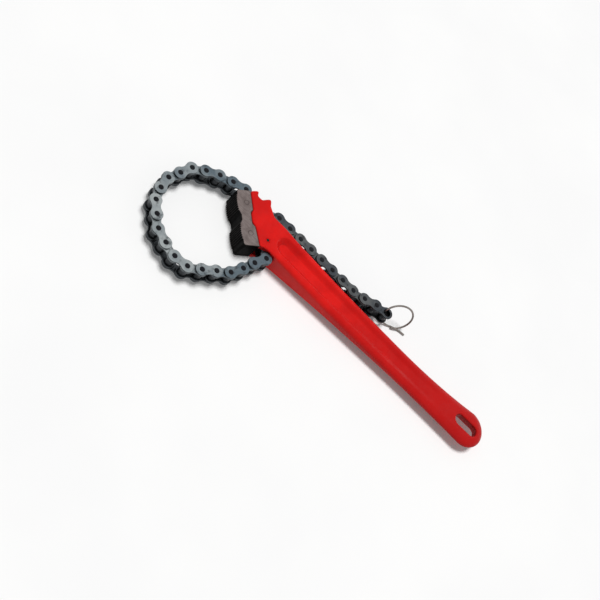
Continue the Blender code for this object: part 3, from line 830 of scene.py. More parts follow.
@dataclass
class Handle:
    """Forged handle: I-beam bar, round end with a hang slot, and the forked head with its seat.

    A size whose name ends in fade is the stretch over which another size comes in.
    """

    lay: ChainLay
    jaw: JawFrame
    enamel: Material
    length: float = 330.2
    end_radius: float = 22.0
    end_half: float = 5.1
    root_half: float = 13.2
    head_half: float = 13.5
    head_reach: float = 22.0
    head_fade: Span = (10.0, 30.0)
    thinning_run: float = 210.0
    thinning_power: float = 1.6
    grip: float = 37.8
    taper: float = 3.1
    flare: float = 7.7
    flare_run: float = 100.0
    edge_radius: float = 4.0
    head_radius: float = 1.5
    radius_fade: Span = (8.0, 40.0)
    least_side: float = 0.3
    crown: float = 1.5
    crown_fade: Span = (30.0, 110.0)
    end_crown: float = 1.8
    end_crown_fade: Span = (200.0, 300.0)
    crown_width: float = 10.0
    flange: float = 8.2
    recess_start: float = 28.0
    recess_stop: float = 44.0
    recess_share: float = 0.42
    recess_loss: float = 0.92
    recess_fade: Span = (185.0, 280.0)
    wall: Span = (-1.8, 5.2)
    neck_fillet: float = 3.5
    neck_fade: Span = (-4.0, 4.0)
    least_fillet: float = 0.01
    slot_length: float = 30.5
    slot_width: float = 12.5
    slot_inset: float = 9.5
    slot_fillet: float = 2.4
    tongue_along: Span = (-24.396, 28.248)
    tongue_out: Span = (-3.0, 12.4)
    tongue_half: float = 6.0
    rib_half: float = 4.5
    rib_root: float = 6.0
    rib_fillet: float = 0.4
    sharp_edge: float = 0.5
    tooth_half: float = 1.2
    tooth_drop: float = 1.0
    gullets: tuple[Span, Span] = ((238, 325), (215, 305))
    clevis_swings: Span = (32.0, 5.0)
    clevis_gap: float = 1.0
    clevis_half: float = 7.1
    relief_radius: float = 8.4
    cut_fillet: float = 0.9
    anchor_hole: float = 2.54
    jaw_hole: float = 2.8
    hole_fillet: float = 0.25
    head_corner: float = 1.6
    key: Span = (6.0, 3.0)
    horns: tuple[Span, ...] = (
        (-0.35, 0.60), (-0.22, 0.57), (-0.13, 0.32), (0.02, 0.29), (0.28, 0.30), (0.34, 0.40),
        (0.58, 0.76), (0.69, 0.82), (0.80, 0.76), (0.88, 0.63), (0.98, 0.44), (1.17, 0.31),
    )
    chin: tuple[Span, ...] = ((-0.017, -0.808), (0.420, -0.589), (0.800, -0.480))
    bare_reach: Span = (-7.2, -6.0)
    bare_half: Span = (-5.6, -4.8)
    grid: tuple[tuple[Point, ...], ...] = (
        ((-48, 34, 0.62), (34, 240, 2.1), (240, 284, 1.4), (284, 331.6, 0.85)),
        ((-31, 32.4, 0.66),),
        ((-14.3, 14.3, 0.70),),
    )
    even: float = 0.6

    def __post_init__(self) -> None:
        """Work out the outlines that the field reads."""
        self.end = (self.length - self.end_radius, self.lay.top_edge + self.flare - self.end_radius)
        self.head_outline = eased(self.head(), self.head_corner, 2)
        self.rib_outline = self.rib()
        self.clevis_outline = self.clevis()

    def edges(self, x: Array) -> tuple[Array, Array]:
        """Edges of the bar: a straight taper less a square-law flare at the end.

        Args:
            x: Places along the bar.

        Returns:
            The lower and the upper edge there.
        """
        grow = np.maximum(0, (x - self.end[0] + self.flare_run) / self.flare_run) ** 2
        start = self.lay.top_edge - self.grip
        drop = start + self.taper - (self.end[1] - self.end_radius)
        lower = start + self.taper * np.clip(x / (self.end[0] - self.flare_run), 0, 1) - drop * grow
        return lower, self.lay.top_edge + self.flare * grow

    def half_thickness(self, x: Array) -> Array:
        """Half of the thickness: the head's, then a power law down to the round end's.

        Args:
            x: Places along the handle.

        Returns:
            The half thickness before the recess and the crown.
        """
        share = np.clip(1 - (x - self.head_reach) / self.thinning_run, 0, 1)
        bar = self.end_half + (self.root_half - self.end_half) * share**self.thinning_power
        return self.head_half + (bar - self.head_half) * smooth_step(x, *self.head_fade)

    def recess(self, x: Array, y: Array) -> Array:
        """Depth of the I-beam recess: a share of the thickness, rising over its sloped wall.

        The wall follows the distance to the middle line less half the recess's width, with round
        ends, and the depth fades towards the round end of the handle.

        Args:
            x: Places along the handle.
            y: Places across it.

        Returns:
            The depth.
        """
        near = np.clip(x, self.recess_start, self.end[0] - self.recess_stop)
        lower, upper = self.edges(near)
        gap = np.hypot(x - near, y - (lower + upper) / 2) - ((upper - lower) / 2 - self.flange)
        fade = 1 - self.recess_loss * smooth_step(x, *self.recess_fade)
        return self.half_thickness(x) * self.recess_share * smooth_step(-gap, *self.wall) * fade

    def head(self) -> Array:
        """Outline of the head.

        Returns:
            Its corners: the seat with its key, the chin, the upper edge and the horns.
        """
        half, (key, deep) = self.jaw.length / 2, self.key
        seat = [(half, 0), (key + deep, 0), (key, deep), (-key, deep), (-key - deep, 0)]
        seat.append((-half, -self.jaw.wedge))
        outline = [self.jaw.to_plan(u, v) for u, v in seat]
        anchor, seated, top = self.lay.pivots[0], self.lay.pivots[21], self.lay.top_edge
        outline += [tuple(anchor + 2 * PLATE_RADIUS * np.array(share)) for share in self.chin]
        outline += [(self.head_reach, self.edges(np.array(self.head_reach))[0]), (self.head_reach, top)]
        outline += [(self.lay.pivots[23][0] - PLATE_WAIST, top)]
        outline += [tuple(seated + PITCH * np.array(share)) for share in reversed(self.horns)]
        return np.array(outline, float)

    def rib(self) -> Array:
        """Outline of the rib that carries the seated rollers.

        Returns:
            Its corners: a gullet under each roller with one tooth between them, and a flat root.
        """
        seated, hooked, tail = self.lay.pivots[21:24]
        gullet = ROLLER_RADIUS + GAP
        left, right = (arc(pivot, gullet, *span, 12) for pivot, span in zip((seated, hooked), self.gullets))
        middle = (seated + hooked) / 2 - (0, self.tooth_drop)
        tips = [middle - (self.tooth_half, 0), middle + (self.tooth_half, 0)]
        end, root = tail[0] - PLATE_WAIST, seated[1] - gullet - self.rib_root
        return np.array([*left, *tips, *right, (end, self.lay.top_edge), (end, root), (left[0][0], root)])

    def clevis(self) -> Array:
        """Outline of the anchor link's pocket.

        Returns:
            Its corners: round at the pin and open below over the link's swing.
        """
        centre, pocket = self.lay.pivots[0], PLATE_RADIUS + self.clevis_gap
        reach = ANCHOR_PITCH + 2 * PLATE_RADIUS
        heading, (back, ahead) = self.lay.heading(1), self.clevis_swings
        left, right = heading - back, heading + ahead
        outline = list(arc(centre, pocket, right + 90, left + 270, 24))
        for heading, side in ((left, -90), (right, 90)):
            angles = np.radians([heading, heading + side])
            along, across = (np.array([math.cos(angle), math.sin(angle)]) for angle in angles)
            outline.append(centre + reach * along + pocket * across)
        return np.array(outline)

    def bar(self, x: Array, y: Array) -> Array:
        """Signed distance to the bar's plan with its round end.

        Args:
            x: Places along the handle.
            y: Places across it.

        Returns:
            The distance, cut off at the anchor pin.
        """
        lower, upper = self.edges(x)
        round_end = np.hypot(x - self.end[0], y - self.end[1]) - self.end_radius
        bar = np.where(x < self.end[0], np.maximum(lower - y, y - upper), round_end)
        return np.maximum(bar, self.lay.pivots[0][0] - x)

    def beam(self, x: Array, y: Array, z: Array) -> Array:
        """Distance to the bar and the head without their cuts.

        The plan is the bar joined to the head with a fillet below. It is extruded by the half
        thickness less the recess and less the crown, which rises as a square towards the edges.

        Args:
            x: Places along the handle.
            y: Places across it.
            z: Heights from the middle plane.

        Returns:
            The distance.
        """
        bar = self.bar(x, y)
        fillet = self.least_fillet + self.neck_fillet * smooth_step(-y, *self.neck_fade)
        plan = smooth_min(bar, polygon_distance(x, y, self.head_outline), fillet)
        radius = self.head_radius + (self.edge_radius - self.head_radius) * smooth_step(x, *self.radius_fade)
        crown = self.crown * smooth_step(x, *self.crown_fade)
        crown = crown + self.end_crown * smooth_step(x, *self.end_crown_fade)
        crown = crown * np.clip(1 + bar / self.crown_width, 0, 1) ** 2
        half = self.half_thickness(x) - self.recess(x, y) - crown
        return extruded(plan, z, half, np.minimum(radius, half - self.least_side))

    def field(self, x: Array, y: Array, z: Array) -> Array:
        """Distance to the forging.

        The tongue and the rib are added to the beam, and the hang slot, channel, clevis, chain
        relief and pin holes are taken away.

        Args:
            x: Places along the handle.
            y: Places across it.
            z: Heights from the middle plane.

        Returns:
            The distance.
        """
        body = self.beam(x, y, z)
        straight = (self.slot_length - self.slot_width) / 2
        middle = self.length - self.slot_inset - self.slot_length / 2
        across = np.maximum(np.abs(x - middle) - straight, 0)
        body = smooth_max(body, self.slot_width / 2 - np.hypot(across, y - self.end[1]), self.slot_fillet)
        sides = zip(self.jaw.from_plan(x, y), (self.tongue_along, self.tongue_out))
        gaps = [np.abs(place - (low + high) / 2) - (high - low) / 2 for place, (low, high) in sides]
        body = np.minimum(body, extruded(np.maximum(*gaps), z, self.tongue_half, self.sharp_edge))
        flat = np.abs(z)
        channel = polygon_distance(x, y, self.lay.channel())
        body = smooth_max(body, -np.maximum(channel, flat - CHANNEL_HALF), self.cut_fillet)
        rib = extruded(polygon_distance(x, y, self.rib_outline), z, self.rib_half, self.sharp_edge)
        body = smooth_min(body, rib, self.rib_fillet)
        clevis = polygon_distance(x, y, self.clevis_outline)
        body = smooth_max(body, -np.maximum(clevis, flat - self.clevis_half), self.cut_fillet)
        anchor, first = self.lay.pivots[:2]
        relief = np.hypot(x - first[0], y - first[1]) - self.relief_radius
        body = smooth_max(body, -np.maximum(relief, flat - CHANNEL_HALF), self.cut_fillet)
        holes = [(anchor, self.anchor_hole), *((self.jaw.pin(number), self.jaw_hole) for number in range(2))]
        for centre, size in holes:
            body = smooth_max(body, size - np.hypot(x - centre[0], y - centre[1]), self.hole_fillet)
        return body

    def bare(self, points: Array, normals: Array) -> Array:
        """Share of bare steel.

        Args:
            points: Points of the forging.
            normals: Their normals, which the share doesn't depend on.

        Returns:
            1 in the gullets that carry the rollers, fading over about a millimetre.
        """
        gaps = [np.hypot(*(points[:, :2] - pivot).T) for pivot in self.lay.pivots[21:23]]
        near = smooth_step(-np.minimum(*gaps), *self.bare_reach)
        return near * smooth_step(-np.abs(points[:, 2]), *self.bare_half)

    def build(self) -> None:
        """Make the forging from its field."""
        axes = tuple(stations(*spans) for spans in self.grid)
        skin = Skin(self.field, axes, self.even, lambda points: points, {"bare": self.bare})
        show("forged_handle", skin.mesh("forged_handle", [self.enamel]), "handle")


@dataclass
class Jaw:
    """Hardened double jaw: two crowned, toothed lobes with a waist, slotted behind for the tongue."""

    lay: ChainLay
    base: JawFrame
    steel: Material
    depth: float = 18.7
    half: float = 13.0
    edge_radius: float = 0.7
    waist: float = 2.8
    waist_half: float = 3.0
    bulge: float = 1.0
    corner: float = 2.8
    tooth: float = 1.1
    teeth: int = 8
    tooth_ease: float = 0.25
    key: Span = (6.3, 3.3)
    lobes: tuple[Span, Span] = ((-0.40, -0.10), (0.11, 0.41))
    slot_start: float = -24.7
    slot_depth: float = 12.7
    slot_half: float = 6.3
    slot_fillet: float = 0.5
    channel_fillet: float = 0.8
    pin_hole: float = 2.54
    hole_fillet: float = 0.1
    ground_slope: Span = (0.55, 0.9)
    ground_height: Span = (12.0, 12.7)
    grid: tuple[Point, Point, Point] = ((-33.2, 33.2, 0.36), (-2.7, 19.6, 0.42), (-13.9, 13.9, 0.9))
    even: float = 0.0

    def __post_init__(self) -> None:
        """Work out the outlines that the field reads."""
        self.outline_points = eased(self.outline(), self.tooth_ease, 1)
        self.channel_points = self.lay.channel()

    def lobe(self, shares: Span) -> Array:
        """Teeth along one lobe: a parabola's crown less the tooth depth at every other point.

        Args:
            shares: Ends of the lobe, as shares of the jaw's length.

        Returns:
            The points of its outline.
        """
        along = np.linspace(0, 1, 2 * self.teeth + 1)
        root = np.where(np.arange(len(along)) % 2 == 0, self.tooth, 0)
        rise = self.depth - self.bulge * (2 * along - 1) ** 2 - root
        start, end = (share * self.base.length for share in shares)
        return np.stack([start + (end - start) * along, rise], axis=1)

    def outline(self) -> Array:
        """Side view of the jaw in its own frame.

        Returns:
            Its corners: the seat with the key's notch, then the upper corner, the lobes with the
            waist between them and the lower corner.
        """
        half, (key, deep) = self.base.length / 2, self.key
        low = self.depth - self.bulge - self.tooth - self.corner
        front = self.depth - self.waist - self.bulge
        points = [(-half, GAP - self.base.wedge), (-key - deep, GAP), (-key, deep)]
        points += [(key, deep), (key + deep, GAP), (half, GAP), (half, low)]
        points += list(arc((half - self.corner, low), self.corner, 0, 90, 8)[1:-1])
        points += [*self.lobe(self.lobes[1])[::-1], (self.waist_half, front)]
        points += [(-self.waist_half, front), *self.lobe(self.lobes[0])[::-1]]
        points += list(arc((self.corner - half, low), self.corner, 90, 180, 8)[1:])
        return np.array(points)

    def field(self, u: Array, v: Array, z: Array) -> Array:
        """Distance to the block, less the tongue's slot, the chain's channel and the pin holes.

        Args:
            u: Places up the seat.
            v: Places out of the seat.
            z: Heights from the middle plane.

        Returns:
            The distance.
        """
        flat = np.abs(z)
        body = extruded(polygon_distance(u, v, self.outline_points), z, self.half, self.edge_radius)
        slot = np.maximum(np.maximum(self.slot_start - u, v - self.slot_depth), flat - self.slot_half)
        body = smooth_max(body, -slot, self.slot_fillet)
        channel = polygon_distance(*self.base.to_plan(u, v), self.channel_points)
        body = smooth_max(body, -np.maximum(channel, flat - CHANNEL_HALF), self.channel_fillet)
        for share in self.base.pin_shares:
            gap = np.hypot(u - self.base.length * share, v - self.base.pin_depth)
            body = smooth_max(body, self.pin_hole - gap, self.hole_fillet)
        return body

    def placed(self, points: Array) -> Array:
        """Points of the jaw's frame in the wrench's frame."""
        x, y = self.base.to_plan(points[:, 0], points[:, 1])
        return np.stack([x, y, points[:, 2]], axis=1)

    def ground(self, points: Array, normals: Array) -> Array:
        """Share of ground steel: 1 where the face looks sideways and lies at the full thickness."""
        sideways = smooth_step(np.abs(normals[:, 2]), *self.ground_slope)
        return sideways * smooth_step(np.abs(points[:, 2]), *self.ground_height)

    def build(self) -> None:
        """Make the jaw from its field."""
        axes = tuple(stations(span) for span in self.grid)
        skin = Skin(self.field, axes, self.even, self.placed, {"ground": self.ground})
        show("double_jaw", skin.mesh("double_jaw", [self.steel]), "jaw")


@dataclass
class CrossPins:
    """The jaw's two cross pins and the chain's anchor pin, turned with a small chamfer."""

    lay: ChainLay
    jaw: JawFrame
    steel: Material
    enamel: Material
    dot: Material
    radius: float = 2.5
    chamfer: Span = (2.35, 0.15)
    dimple: tuple[float, float, float] = (1.2, 1.6, 1.7)
    jaw_half: float = 12.97
    jaw_dish: float = 0.02
    anchor_half: float = 13.35
    anchor_dish: float = 0.6
    sides: int = 36

    def profile(self, half: float, dish: float) -> Array:
        """Dished ends, chamfers and a barrel.

        Args:
            half: Half of the pin's length.
            dish: Depth of the dish in each end.

        Returns:
            Radius and height of the points, from the lower end to the upper.
        """
        flat, slope_end, lip = self.dimple
        start, drop = self.chamfer
        end = [(0, half - dish), (flat, half - dish), (slope_end, half - dish / 3), (lip, half)]
        end += [(start, half), (self.radius, half - drop)]
        return np.array([(radius, -height) for radius, height in end] + end[::-1])

    def build(self) -> None:
        """Turn the three pins."""
        for number, name in enumerate(("upper", "lower")):
            shell = Shell()
            shell.lathe(self.profile(self.jaw_half, self.jaw_dish), self.jaw.pin(number), self.sides)
            made = shell.mesh("jaw_cross_pin", [self.steel])
            set_mark(made, "ground", np.ones(len(made.vertices)))
            show(f"jaw_cross_pin_{name}", made, f"jaw_pin_{name}")
        shell = Shell()
        rings = self.profile(self.anchor_half, self.anchor_dish)
        for part, finish in ((rings[:4], 1), (rings[3:-3], 0), (rings[-4:], 1)):
            shell.lathe(part, self.lay.pivots[0], self.sides, finish=finish)
        made = shell.mesh("chain_anchor_pin", [self.enamel, self.dot])
        show("chain_anchor_pin", made, "anchor_pin")


class LinkKind(Enum):
    """Kinds of link in the chain."""

    ANCHOR = "anchor"
    INNER = "inner"
    OUTER = "outer"
    LAST = "last"


@dataclass
class Chain:
    """Roller chain of thirty-three links: waisted plates, bushed rollers and riveted pins."""

    lay: ChainLay
    plates: Material
    tail: Material
    rollers: Material
    pins: Material
    links: int = 33
    first_tail_link: int = 24
    thickness: float = 2.0
    inner_width: float = 9.6
    plate_gap: float = 0.3
    rim: tuple[Span, ...] = ((0.75, 0), (0.42, 0.03), (0.18, 0.14), (0.04, 0.34), (0, 0.6))
    end_steps: int = 26
    hollow_steps: int = 8
    hole_ease: float = 0.25
    tube_ease: float = 0.22
    tube_sides: int = 32
    bush_radius: float = 3.5
    bush_grip: float = 0.02
    bush_play: float = 0.2
    roller_play: float = 0.1
    roller_end_gap: float = 0.15
    last_eye: float = 4.32
    last_grip: float = 0.05
    pin_radius: float = 2.5
    pin_grip: float = 0.05
    pin_sides: int = 28
    rivet: float = 0.5
    rivet_dome: tuple[Span, ...] = ((0, 0), (0.9, 0.03), (1.9, 0.12), (2.6, 0.26))
    rivet_lip: float = 0.42
    rivet_ease: float = 0.1
    face_fade: Span = (-0.45, -0.05)
    # painted light: mean and swing of the per-link lightening along the chain
    tint: Span = (0.47, 0.5)
    brightest_link: float = 10.5
    painted_light_turn: float = 0.3
    outer_painted_light: float = 0.04

    def plan(self, pitch: float) -> tuple[Array, Array]:
        """Outline of a plate and its outward normals.

        Two round ends are joined by hollow arcs that meet them smoothly: the hollow's radius is
        (half pitch squared + waist squared - end squared) over twice (end - waist).

        Args:
            pitch: Distance between the plate's two holes.

        Returns:
            The outline from the middle of its upper hollow, round the left end first, and normals.
        """
        half, end = pitch / 2, PLATE_RADIUS
        hollow = (half**2 + PLATE_WAIST**2 - end**2) / (2 * (end - PLATE_WAIST))
        rise = PLATE_WAIST + hollow
        meet = math.degrees(math.atan2(rise, half))
        pieces = [
            ((half, rise), -hollow, 270, 180 + meet, self.hollow_steps // 2),
            ((0, 0), end, meet, 360 - meet, self.end_steps),
            ((half, -rise), -hollow, 180 - meet, meet, self.hollow_steps),
            ((pitch, 0), end, meet - 180, 180 - meet, self.end_steps),
            ((half, rise), -hollow, 360 - meet, 270, self.hollow_steps // 2),
        ]
        points = [arc(centre, abs(radius), *span)[:-1] for centre, radius, *span in pieces]
        normals = [(p - centre) / radius for p, (centre, radius, *_) in zip(points, pieces)]
        return np.concatenate(points), np.concatenate(normals)

    def plate(self, shell: Shell, pitch: float, inside: float, holes: Span) -> None:
        """Add one plate: its rolled rim, two pierced faces and the walls of its holes.

        Args:
            shell: Where the plate goes.
            pitch: Distance between its holes.
            inside: Height of its inner face from the middle plane.
            holes: Radius of each hole.
        """
        outline, normals = self.plan(pitch)
        thick, ease = self.thickness, self.hole_ease
        rim = np.array(self.rim)
        rim = np.concatenate([rim, rim[::-1] * (1, -1) + (0, thick)])
        rings = outline[None] - rim[:, 0, None, None] * normals
        shell.levels(rings, inside + rim[:, 1])
        flat, half = rings[0], len(outline) // 2
        middle = np.linspace(flat[half], flat[0], 8)[1:-1]
        left = np.concatenate([flat[: half + 1], middle])
        right = np.concatenate([flat[half:], flat[:1], middle[::-1]])
        for loop, centre, size in zip((left, right), ((0.0, 0.0), (pitch, 0.0)), holes):
            out = loop - centre
            ring = out / np.hypot(out[:, 0], out[:, 1])[:, None]
            share = np.linspace(0, 1, 3)[:, None, None]
            face = centre + ring * (size + ease) * (1 - share) + out * share
            for level in (inside, inside + thick):
                shell.levels(face, level)
            wall = np.array([(size + ease, 0), (size, ease), (size, thick - ease), (size + ease, thick)])
            shell.levels(centre + ring * wall[:, 0, None, None], inside + wall[:, 1])

    def tube(self, shell: Shell, centre: Span, outer: float, inner: float, half: float) -> None:
        """Add a bush or a roller: a closed profile with small chamfers, turned round its pin.

        Args:
            shell: Where the tube goes.
            centre: Plan position of its axis.
            outer: Its outer radius.
            inner: Its inner radius.
            half: Half of its length.
        """
        ease = self.tube_ease
        start, end = (inner, ease - half), (outer, ease - half)
        profile = [start, (inner + ease / 2, -half), (outer - ease, -half), end]
        profile += [(radius, -height) for radius, height in profile[::-1]]
        shell.lathe(np.array(profile), centre, self.tube_sides, closed=True, finish=1)

    def pin(self, shell: Shell, centre: Span, half: float) -> None:
        """Add a pin with a domed, riveted head on each end.

        Args:
            shell: Where the pin goes.
            centre: Plan position of its axis.
            half: Half of its length.
        """
        foot = half - self.rivet
        head = [(radius, half - drop) for radius, drop in self.rivet_dome]
        head += [(self.pin_radius + self.rivet_lip, foot), (self.pin_radius, foot - self.rivet_ease)]
        profile = [(radius, -height) for radius, height in head] + head[::-1]
        shell.lathe(np.array(profile), centre, self.pin_sides, finish=1)

    def shape(self, kind: LinkKind, plates: Material) -> Mesh:
        """One link lying along +X from its first pivot.

        Args:
            kind: Which kind of link.
            plates: Material of its plates.

        Returns:
            Its mesh, with the mark "face" at 1 on the plates' outer faces and 0 below their rims, where the
            plate finish paints shade.
        """
        shell = Shell()
        pitch = ANCHOR_PITCH if kind is LinkKind.ANCHOR else PITCH
        outer = kind is LinkKind.OUTER
        half, bush = self.inner_width / 2, self.bush_radius
        inside = half + (self.thickness + self.plate_gap if outer else 0)
        eye = self.last_eye if kind is LinkKind.LAST else bush
        holes = (self.pin_radius - self.pin_grip,) * 2 if outer else (bush, eye)
        for side in (inside, -inside - self.thickness):
            self.plate(shell, pitch, side, holes)
        for number, centre in enumerate(((0.0, 0.0), (pitch, 0.0))):
            if outer:
                self.pin(shell, centre, inside + self.thickness + self.rivet)
            elif kind is LinkKind.LAST and number == 1:
                self.tube(shell, centre, ROLLER_RADIUS, eye, half + self.last_grip)
            else:
                length, bore = half + self.thickness - self.bush_grip, self.pin_radius + self.bush_play
                self.tube(shell, centre, bush + self.bush_grip, bore, length)
                self.tube(shell, centre, ROLLER_RADIUS, bush + self.roller_play, half - self.roller_end_gap)
        # painted shade: bushes and rollers take the near-black roller steel
        made = shell.mesh(f"{kind.value}_link", [plates, self.pins if outer else self.rollers])
        places = np.empty(3 * len(made.vertices), np.float32)
        made.vertices.foreach_get("co", places)
        # mark for painted shade: 1 on the plates' outer faces, 0 on rims and inner faces
        rise = np.abs(places[2::3] * METRE - MID_HEIGHT) - inside - self.thickness
        set_mark(made, "face", smooth_step(rise, *self.face_fade))
        return made

    def kind(self, number: int) -> LinkKind:
        """Odd links are inner links and even ones outer; the first and the last are special."""
        ends = {1: LinkKind.ANCHOR, self.links: LinkKind.LAST}
        return ends.get(number, LinkKind.OUTER if number % 2 == 0 else LinkKind.INNER)

    def build(self) -> None:
        """Lay a copy of each link's shape along the chain.

        The per-link mark of painted light is a mean plus a swing times the cosine of the link's number less
        the lightest link's, turned by a fixed angle per link, and a little more on outer links, so that the
        lower inner links carry painted shade.
        """
        shapes: dict[tuple[LinkKind, bool], Mesh] = {}
        mean, swing = self.tint
        for number in range(1, self.links + 1):
            tail = number >= self.first_tail_link
            key = (self.kind(number), tail)
            if key not in shapes:
                # painted shade: tail links take the darker copy of the plate steel
                shapes[key] = self.shape(key[0], self.tail if tail else self.plates)
            made = shapes[key].copy()
            made.name = f"chain_link_{number:02d}"
            x, y = self.lay.pivots[number - 1] / METRE
            turn = Matrix.Rotation(math.radians(self.lay.heading(number)), 4, "Z")
            made.transform(Matrix.Translation((x, y, 0)) @ turn)
            # painted light: links lighter where light falls, and inner links a little darker as painted shade
            tint = mean + swing * math.cos((number - self.brightest_link) * self.painted_light_turn)
            tint += self.outer_painted_light if key[0] is LinkKind.OUTER else 0
            set_mark(made, "tint", np.full(len(made.vertices), tint))
            show(made.name, made, f"link_{number:02d}")
        for mesh in shapes.values():
            bpy.data.meshes.remove(mesh)


@dataclass
class PullRing:
    """Pull ring bent from one wire, with a straight free end that crosses the last link."""

    lay: ChainLay
    steel: Material
    radius: float = 17.2
    wire: float = 1.1
    heading: float = 29.3
    lean: float = 19.0
    rise: float = 4.2
    reach: float = 15.3
    shift: float = 1.1
    offset: float = 1.2
    tail: float = 20.0
    bow: float = 4.6
    turn: float = 352.0
    tail_points: int = 24
    turn_points: int = 168
    sides: int = 20
    cap: tuple[float, float, int] = (90.0, 15.0, 6)

    def route(self) -> tuple[Array, Array]:
        """Centre line of the wire and the ring's normal.

        The free end runs back along the heading to the foot of the ring, bowed aside by the bow
        times the square of the share of its length. The turn is the centre plus the radius times
        (cos, sin) of an angle that falls from 270 degrees, shifted along the normal from one side
        to the other.

        Returns:
            The points of the centre line, and the normal.
        """
        heading, lean = math.radians(self.heading), math.radians(self.lean)
        along = np.array([math.cos(heading), math.sin(heading), 0])
        across = np.array([-math.sin(heading), math.cos(heading), 0])
        up = across * math.sin(lean) + np.array([0, 0, math.cos(lean)])
        normal = np.cross(along, up)
        eye = np.array([*self.lay.pivots[33], 0])
        centre = eye + along * self.reach + across * self.shift + (0, 0, self.rise)
        foot = centre - up * self.radius - normal * self.offset
        run = np.linspace(1, 0, self.tail_points)[:-1, None]
        straight = foot + run * self.tail * along - run**2 * self.bow * across
        share = np.linspace(0, 1, self.turn_points)[:, None]
        angle = np.radians(270 - self.turn * share)
        bent = centre + (along * np.cos(angle) + up * np.sin(angle)) * self.radius
        return np.concatenate([straight, bent + normal * self.offset * (2 * share - 1)]), normal

    def build(self) -> None:
        """Sweep a circle along the centre line, closing each end with a half round."""
        line, normal = self.route()
        ahead = np.gradient(line, axis=0)
        ahead /= np.linalg.norm(ahead, axis=1)[:, None]
        side = normal - (ahead @ normal)[:, None] * ahead
        side /= np.linalg.norm(side, axis=1)[:, None]
        other = np.cross(ahead, side)
        cap = np.radians(np.linspace(*self.cap))
        sizes = np.concatenate([np.cos(cap), np.ones(len(line)), np.cos(cap[::-1])]) * self.wire
        push = np.concatenate([-np.sin(cap), np.zeros(len(line)), np.sin(cap[::-1])]) * self.wire
        index = np.clip(np.arange(len(sizes)) - len(cap), 0, len(line) - 1)
        turn = 2 * np.pi * np.arange(self.sides)[None, :, None] / self.sides
        ring = np.cos(turn) * side[index][:, None] + np.sin(turn) * other[index][:, None]
        points = (line[index] + push[:, None] * ahead[index])[:, None] + ring * sizes[:, None, None]
        shell = Shell()
        shell.rings(points)
        show("wire_pull_ring", shell.mesh("wire_pull_ring", [self.steel]), "pull_ring")


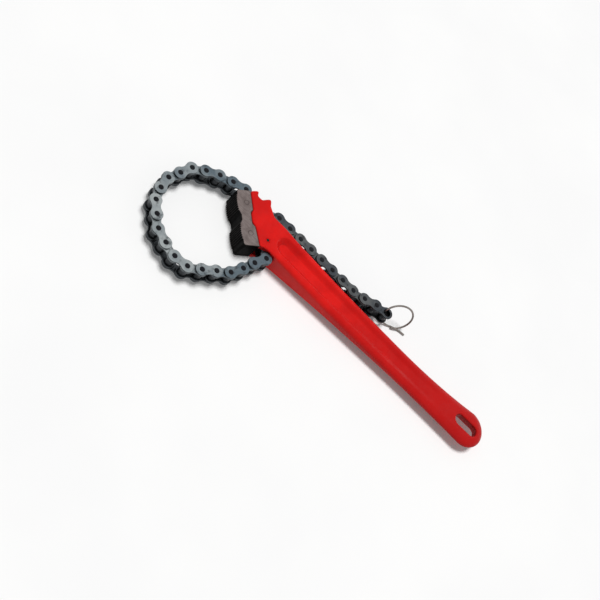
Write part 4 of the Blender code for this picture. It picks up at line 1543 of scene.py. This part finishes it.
@dataclass
class Studio:
    """Camera at the photograph's angle, pale floor and one plain soft lamp, placed in metres."""

    position: Point = (-0.0578, -0.6505, 0.8131)
    right: Point = (0.71353, 0.49034, 0.50044)
    down: Point = (0.68832, -0.62388, -0.37012)
    forward: Point = (0.13072, 0.60856, -0.78267)
    sensor: float = 36.0
    focal: float = 58.63
    clip: Span = (0.01, 30.0)
    floor_half: float = 3.0
    floor_level: float = -0.0003
    floor_glow: float = 0.10
    paper: Point = (0.88, 0.88, 0.88)
    bright_paper: Point = (0.91, 0.91, 0.905)
    lamp_place: Point = (-0.05, 0.38, 3.20)
    lamp_target: Point = (0.09, -0.02, 0.01)
    lamp_power: float = 2.74
    lamp_spread: float = 18.0
    sky: float = 0.22

    def camera(self) -> None:
        """Camera whose axes are the photograph's right, up and back directions."""
        made = bpy.data.objects.new("camera", bpy.data.cameras.new("camera"))
        made.data.sensor_width, made.data.lens = self.sensor, self.focal
        made.data.clip_start, made.data.clip_end = self.clip
        axes = np.stack([self.right, -np.array(self.down), -np.array(self.forward), self.position], axis=1)
        made.matrix_world = Matrix([*axes.tolist(), [0, 0, 0, 1]])
        bpy.context.scene.collection.objects.link(made)
        bpy.context.scene.camera = made

    def lamp(self) -> None:
        """Even soft light from one side, out of sight of mirrors."""
        data = bpy.data.lights.new("key_lamp", "SUN")
        data.energy, data.angle = self.lamp_power, math.radians(self.lamp_spread)
        made = bpy.data.objects.new("key_lamp", data)
        made.location = self.lamp_place
        made.visible_glossy = False
        look = Vector(self.lamp_target) - Vector(self.lamp_place)
        made.rotation_euler = look.to_track_quat("-Z", "Y").to_euler()
        bpy.context.scene.collection.objects.link(made)

    def seen(self, tree: bpy.types.NodeTree) -> Socket:
        """Tell the rays that look from those that light.

        Args:
            tree: The node tree that asks.

        Returns:
            1 for camera, glossy and transmission rays, and 0 for the rest.
        """
        path = tree.nodes.new("ShaderNodeLightPath")
        total = path.outputs["Is Camera Ray"]
        for name in ("Is Glossy Ray", "Is Transmission Ray"):
            both = tree.nodes.new("ShaderNodeMath")
            both.operation = "MAXIMUM"
            tree.links.new(total, both.inputs[0])
            tree.links.new(path.outputs[name], both.inputs[1])
            total = both.outputs[0]
        return total

    def floor(self) -> None:
        """Pale floor that keeps a soft shadow and glows a little where it is seen."""
        corners = [(-1, -1), (1, -1), (1, 1), (-1, 1)]
        mesh = bpy.data.meshes.new("floor")
        places = [(x * self.floor_half, y * self.floor_half, self.floor_level) for x, y in corners]
        mesh.from_pydata(places, [], [(0, 1, 2, 3)])
        bench = Bench("floor_finish")
        mesh.materials.append(bench.material)
        paper = bench.mix(bench.spread(bench.noise(4, 3), 0.3, 0.7), self.paper, self.bright_paper)
        bench.dress(Base_Color=paper, Roughness=0.9, Specular_IOR_Level=0.1)
        tree = bench.material.node_tree
        glow = bench.add("ShaderNodeEmission", {"Color": (1.0, 1.0, 1.0), "Strength": 1.0}, "Emission")
        share = bench.math("MULTIPLY", self.seen(tree), self.floor_glow)
        shaders = {0: share, 1: bench.shader.outputs["BSDF"], 2: glow}
        mixed = bench.add("ShaderNodeMixShader", shaders, "Shader")
        bench.feed(tree.nodes["Material Output"].inputs["Surface"], mixed)
        made = bpy.data.objects.new("floor", mesh)
        bpy.context.scene.collection.objects.link(made)

    def world(self) -> None:
        """White surroundings where they are seen, and a plain grey light elsewhere."""
        world = bpy.data.worlds.new("surroundings")
        world.use_nodes = True
        tree = world.node_tree
        mixed = tree.nodes.new("ShaderNodeMixShader")
        tree.links.new(self.seen(tree), mixed.inputs[0])
        shades = (tree.nodes["Background"], self.sky), (tree.nodes.new("ShaderNodeBackground"), 1.0)
        for number, (shade, strength) in enumerate(shades, 1):
            shade.inputs["Color"].default_value = (1, 1, 1, 1)
            shade.inputs["Strength"].default_value = strength
            tree.links.new(shade.outputs[0], mixed.inputs[number])
        tree.links.new(mixed.outputs[0], tree.nodes["World Output"].inputs["Surface"])
        bpy.context.scene.world = world

    def build(self) -> None:
        """Set up the camera, the floor, the surroundings and the lamp."""
        self.camera()
        self.floor()
        self.world()
        self.lamp()
        bpy.context.scene.view_settings.view_transform = "Standard"


def main() -> None:
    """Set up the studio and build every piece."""
    logging.basicConfig(level=logging.INFO, format="%(message)s")
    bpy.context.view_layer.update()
    Studio().build()
    lay, jaw = ChainLay.from_joints(frame["joints"]), JawFrame()
    enamel, pins = Enamel().material(), PIN_STEEL.material()
    jaw_steel, rollers = JawSteel().material(), SHADED_ROLLER_STEEL.material()
    Handle(lay, jaw, enamel).build()
    Jaw(lay, jaw, jaw_steel).build()
    CrossPins(lay, jaw, jaw_steel, enamel, DOT_STEEL.material()).build()
    Chain(lay, PLATE_STEEL.material(), SHADED_TAIL_STEEL.material(), rollers, pins).build()
    PullRing(lay, WIRE_STEEL.material()).build()


if __name__ == "__main__":
    main()
